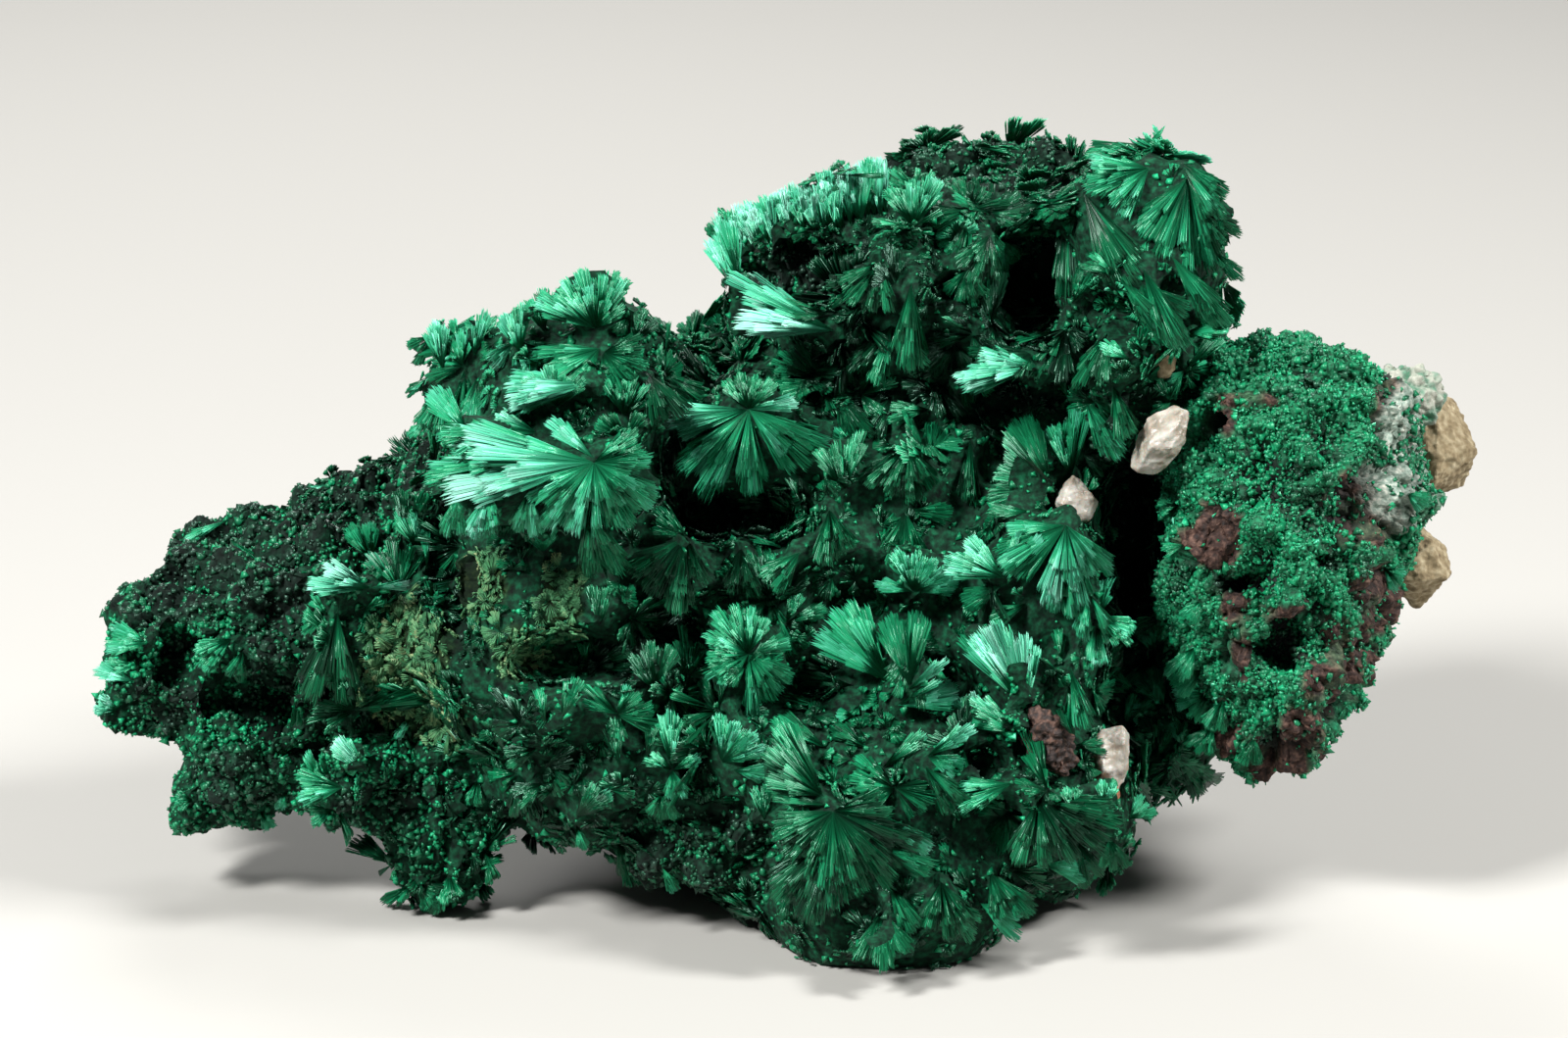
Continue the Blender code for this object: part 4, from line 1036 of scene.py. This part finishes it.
def make_ground(name, grid, place, way):
    """One part of the ground mass, cut off where its neighbour takes over."""
    piece = copy_of("malachite_mass", name, grid, 3, (place, way))
    mesh = piece.data
    points = points_of(mesh)
    normals = normals_of(mesh)
    low = np.clip((points[:, 2] - 0.3) / 0.8, 0, 1)
    grainy = granular_share(points, normals)
    pits = weight_in(PITS, points) * facing(normals)
    clumps = 2.0 * (knobs(points, 2.6) - 0.78) + 0.7 * (knobs(points, 1.1, 2.0) - 0.7) + 0.8 * mottle(points, 3.4, 5.0)
    rise = clumps * grainy + (0.12 * mottle(points, 0.7) - 0.12) * (1 - grainy) - 0.9 * pits
    moved = points + normals * (rise * low)[:, None]
    moved[:, 2] = np.maximum(moved[:, 2], 0)
    move_points(mesh, moved)
    paint(mesh, "black", black_share(points, normals))
    # Painted shade: near-black where the ground sinks between clumps and in the listed pits
    paint(mesh, "painted_hollow_shade", np.clip(np.maximum(-rise * 0.7 - 0.5, 0.85 * pits), 0, 1))
    paint(mesh, "dust", weight_in(DUSTED, points) * facing(normals))
    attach(piece, "root")
    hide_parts("malachite_mass")
    return piece


def ridges(points, size, shift=0.0):
    """Smooth noise folded into sharp ridges: 1 on a ridge and near 0 between them."""
    return 1 - np.abs(mottle(points, size, shift)) * 2.2


def make_matrix():
    piece = copy_of("limonite_matrix", "limonite_crusted_lump", 0.17, 5)
    mesh = piece.data
    points = points_of(mesh)
    normals = normals_of(mesh)
    rise = 1.1 * (ridges(points, 4.2, 9.0) - 0.6) + 1.0 * (knobs(points, 2.1, 5.0) - 0.75)
    rise = rise + 0.45 * (knobs(points, 0.8) - 0.7)
    pits = weight_in(LOBE_PITS, points) * facing(normals)
    rise = rise - 0.7 * np.clip(mottle(points, 1.6, 31.0) * 3 - 0.5, 0, 1) - 1.3 * pits
    move_points(mesh, points + normals * rise[:, None])
    paint(mesh, "bare", bare_share(points))
    # Painted shade: near-black where the surface sinks and in the listed holes
    paint(mesh, "painted_hollow_shade", np.clip(np.maximum(-rise * 0.8 - 0.2, 0.9 * pits), 0, 1))
    paint(mesh, "pale", weight_in([(31.8, 27.2, 1.7, 3.6, 1.0)], points))
    mesh.materials.append(crusted_matrix())
    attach(piece, "root")
    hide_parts("limonite_matrix")
    return piece


def bare_share(points):
    """How bare the limonite is at each point, by the table and in small patches elsewhere."""
    return np.clip(weight_in(BARE, points) * 1.7 + mottle(points, 1.9, 8.0) * 1.3 - 0.4, 0, 1)


GRAINS = [
    ("quartz_grain_upper", "quartz", 34),
    ("quartz_grain_middle", "quartz", 30),
    ("quartz_grain_lower", "quartz", 34),
    ("quartz_crust", "stained quartz", 30),
    ("sandstone_grain_small", "sandstone", 40),
    ("sandstone_pebble_upper", "sandstone", 26),
    ("sandstone_pebble_lower", "sandstone", 24),
    ("limonite_crumb", "limonite", 24),
]


def broken_grain(node, name, corners):
    """The solid model's grain broken to flat faces: only its outermost points in this many directions are kept."""
    piece = copy_of(node, name, 0.2, 0)
    points = points_of(piece.data)
    picks = {int(np.argmax(points @ way)) for way in unit(rng.normal(0, 1, (corners, 3)))}
    select_only(piece)
    for index, vert in enumerate(piece.data.vertices):
        vert.select = index not in picks
    bpy.ops.object.mode_set(mode="EDIT")
    bpy.ops.mesh.select_mode(type="VERT")
    bpy.ops.object.mode_set(mode="OBJECT")
    for index, vert in enumerate(piece.data.vertices):
        vert.select = index not in picks
    bpy.ops.object.mode_set(mode="EDIT")
    bpy.ops.mesh.delete(type="VERT")
    bpy.ops.mesh.select_all(action="SELECT")
    bpy.ops.mesh.convex_hull()
    bpy.ops.object.mode_set(mode="OBJECT")
    apply_modifier(piece, "REMESH", mode="VOXEL", voxel_size=0.09 * MM)
    apply_modifier(piece, "SMOOTH", factor=0.5, iterations=2)
    return piece


def make_grains():
    finishes = {"quartz": cloudy_quartz(), "stained quartz": stained_quartz(), "sandstone": sandy_stone(),
                "limonite": earthy_limonite()}
    roughness = {"quartz": 0.1, "stained quartz": 0.35, "sandstone": 0.16, "limonite": 0.4}
    for node, slot, corners in GRAINS:
        piece = broken_grain(node, node + "_stone", corners)
        points = points_of(piece.data)
        rise = roughness[slot] * (mottle(points, 0.6, 2.0) + 0.5 * mottle(points, 0.25, 4.0))
        move_points(piece.data, points + normals_of(piece.data) * rise[:, None])
        piece.data.materials.append(finishes[slot])
        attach(piece, "root")
        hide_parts(node)


def make_flake():
    """The thin stained flake under the lower quartz grain: a slab broken rough, half sunk in the mass."""
    low = np.array(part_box("quartz_grain_lower")[0]) / MM
    bpy.ops.object.select_all(action="DESELECT")
    place = Vector((low[0] - 0.7, low[1] + 0.5, low[2] + 0.2)) * MM
    bpy.ops.mesh.primitive_cube_add(size=MM, location=place, rotation=(0, math.radians(-9), math.radians(6)),
                                    scale=(4.4, 3.2, 0.7))
    flake = bpy.context.object
    flake.name = "stained_flake"
    bpy.ops.object.transform_apply(location=True, rotation=True, scale=True)
    apply_modifier(flake, "REMESH", mode="VOXEL", voxel_size=0.1 * MM)
    points = points_of(flake.data)
    rise = 0.4 * mottle(points, 1.1, 2.0) + 0.2 * mottle(points, 0.35, 6.0)
    move_points(flake.data, points + normals_of(flake.data) * rise[:, None])
    flake.data.materials.append(rusty_quartz())
    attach(flake, "root")


def crust_tone(points, normals):
    """Tone of the granular crust: grey-black, and greener outside its black parts, with painted shade darkening it in
    the pits.
    """
    black = black_share(points, normals)
    green = 0.64 + 0.2 * mottle(points, 2.0, 1.0) - 0.35 * weight_in(PITS, points)
    return 0.18 + (green - 0.18) * (1 - 0.88 * black) + 0.06 * rng.normal(0, 1, len(points))


def silk_tone(points, size):
    """Tone of the small fans and tufts, in patches this many millimetres wide, with painted sheen where light catches
    them and painted shade in darker parts and pits.
    """
    return (0.42 + 0.24 * mottle(points, size, 7.0) + 0.3 * weight_in(PAINTED_SHEEN, points)
            - 0.16 * weight_in(PAINTED_SHADE, points) - 0.3 * weight_in(PITS, points))


def fibrous_share(points, normals):
    """Where clusters of fans may grow: off the granular crust and the matted parts, not over a listed fan and not
    on the granular lobe, which is too small for them."""
    taken = in_listed_fan(points) & (normals @ FORWARD < 0.2) | (points[:, 0] < LOBE_START)
    share = (1 - granular_share(points, normals)) * (1 - weight_in(DUSTED, points))
    return share * (1 - 0.5 * weight_in(PITS, points)) * ~taken * (normals[:, 2] > -0.8)


def dusted_share(points, normals):
    return weight_in(DUSTED, points) * (normals @ FORWARD < 0.3)


def lobe_tone(points):
    """Tone of the matrix's crust: lighter and darker by the patch and by the crystal, with painted shade darkening it
    in the holes.
    """
    patches = 0.58 + 0.18 * mottle(points, 1.5, 3.0) + 0.1 * mottle(points, 3.6, 5.0)
    return patches - 0.4 * weight_in(LOBE_PITS, points) + 0.07 * rng.normal(0, 1, len(points))


def make_growths(skin, lobe):
    needle = model_needle()
    stub = model_stub()
    silk = fibrous_malachite()
    crystals = granular_malachite()
    dusted = dusted_malachite()

    needles = Crop()
    grow_listed_fans(needles, skin, FANS)
    grow_listed_fans(needles, skin, crest_fans(), 0.25)
    grow_clusters(needles, skin, 0.14, fibrous_share, lambda p: silk_tone(p, 3.5))
    make_crystals("needle_fans", needles, needle, silk, root_painted_shade=0.7)

    tufts = Crop()
    matted = Crop()
    crumbs = Crop()
    stubs = Crop()
    grow_clusters(tufts, skin, 0.66, fibrous_share, lambda p: silk_tone(p, 1.5), (2, 3), (0.6, 1.4), 2.4, 1)
    grow_clusters(matted, skin, 3.4, dusted_share, lambda p: 0.76 + 0.4 * mottle(p, 0.9, 19.0), (2, 3), (0.5, 1.3),
                  1.8, 1)
    grow_crystals(crumbs, skin, 14, (0.12, 0.4), dusted_share, lambda p, n: 0.72 + 0.34 * mottle(p, 0.8, 23.0))
    grow_crystals(stubs, skin, 9, (0.18, 0.56), lambda p, n: 0.12 + 0.88 * granular_share(p, n), crust_tone,
                  stoutness=(0.4, 0.75), lean=1.2)
    make_crystals("needle_tufts", tufts, needle, silk, root_painted_shade=0.6)
    make_crystals("matted_tufts", matted, needle, dusted, root_painted_shade=0.7)
    make_crystals("dust_crumbs", crumbs, stub, dusted, root_painted_shade=0.7)
    make_crystals("granular_crust", stubs, stub, crystals, root_painted_shade=0.6)

    lobe_fans = Crop()
    grow_listed_fans(lobe_fans, lobe, LOBE_FANS)
    grow_crystals(lobe_fans, lobe, 8, (0.3, 0.7), lambda p, n: 1 - 0.95 * bare_share(p),
                  lambda p, n: lobe_tone(p), stoutness=(0.13, 0.22), lean=1.0)
    make_crystals("sparkling_needles", lobe_fans, needle, silk, root_painted_shade=0.6)
    crust = Crop()
    grow_crystals(crust, lobe, 13, (0.2, 0.6), lambda p, n: 1 - 0.95 * bare_share(p),
                  lambda p, n: lobe_tone(p), stoutness=(0.4, 0.75), lean=1.4)
    make_crystals("sparkling_crust", crust, stub, crystals, root_painted_shade=0.5)


# The room

def make_floor():
    """A plain pale floor, wide enough to fill the view."""
    bpy.ops.object.select_all(action="DESELECT")
    bpy.ops.mesh.primitive_plane_add(size=3.0, location=(0, 0.6, 0))
    floor = bpy.context.object
    floor.name = "floor"
    bpy.ops.object.transform_apply(location=True, rotation=True, scale=True)
    # Painted board: even and matte, with no pattern
    material, tree, shader = new_material("painted_board")
    feed(tree, shader, {"Base Color": linear("#a09e99"), "Roughness": 0.8})
    floor.data.materials.append(material)


def add_light(name, place, size, power):
    """A square soft light at this place in millimetres, turned to the specimen."""
    lamp = bpy.data.lights.new(name, "AREA")
    lamp.size = size * MM
    lamp.energy = power
    obj = bpy.data.objects.new(name, lamp)
    obj.location = Vector(place) * MM
    obj.rotation_euler = (Vector((0, 0, 0.02)) - obj.location).to_track_quat("-Z", "Y").to_euler()
    bpy.context.scene.collection.objects.link(obj)


def make_room():
    make_floor()
    add_light("key", (-260, -230, 330), 100, 4.6)
    add_light("second", (280, -120, 300), 100, 2.8)
    add_light("back", (-60, 300, 260), 160, 0.9)
    world = bpy.data.worlds.new("studio")
    world.use_nodes = True
    world.node_tree.nodes["Background"].inputs["Color"].default_value = linear("#e8ecf0")
    world.node_tree.nodes["Background"].inputs["Strength"].default_value = 0.12
    bpy.context.scene.world = world
    camera = bpy.data.cameras.new("camera")
    camera.sensor_width = SENSOR_WIDTH
    camera.lens = LENS
    camera.clip_start = 0.01
    eye = bpy.data.objects.new("camera", camera)
    eye.location = EYE * MM
    eye.rotation_euler = (math.radians(90) - LOOK_DOWN, 0, 0)
    bpy.context.scene.collection.objects.link(eye)
    bpy.context.scene.camera = eye
    bpy.context.scene.view_settings.view_transform = "Standard"


make_room()
lobe = make_ground("granular_lobe_ground", 0.23, (-15.5, 0, 0), (1, 0, 0))
middle = make_ground("fibrous_ground", 0.36, (-17.5, 0, 0), (-1, 0, 0))
for ground in (lobe, middle):
    ground.data.materials.append(malachite_ground())
matrix = make_matrix()
make_grains()
make_flake()
make_growths(Skin((lobe, -99, -16.5), (middle, -16.5, 99)), Skin((matrix, -99, 99)))

bpy.context.view_layer.update()
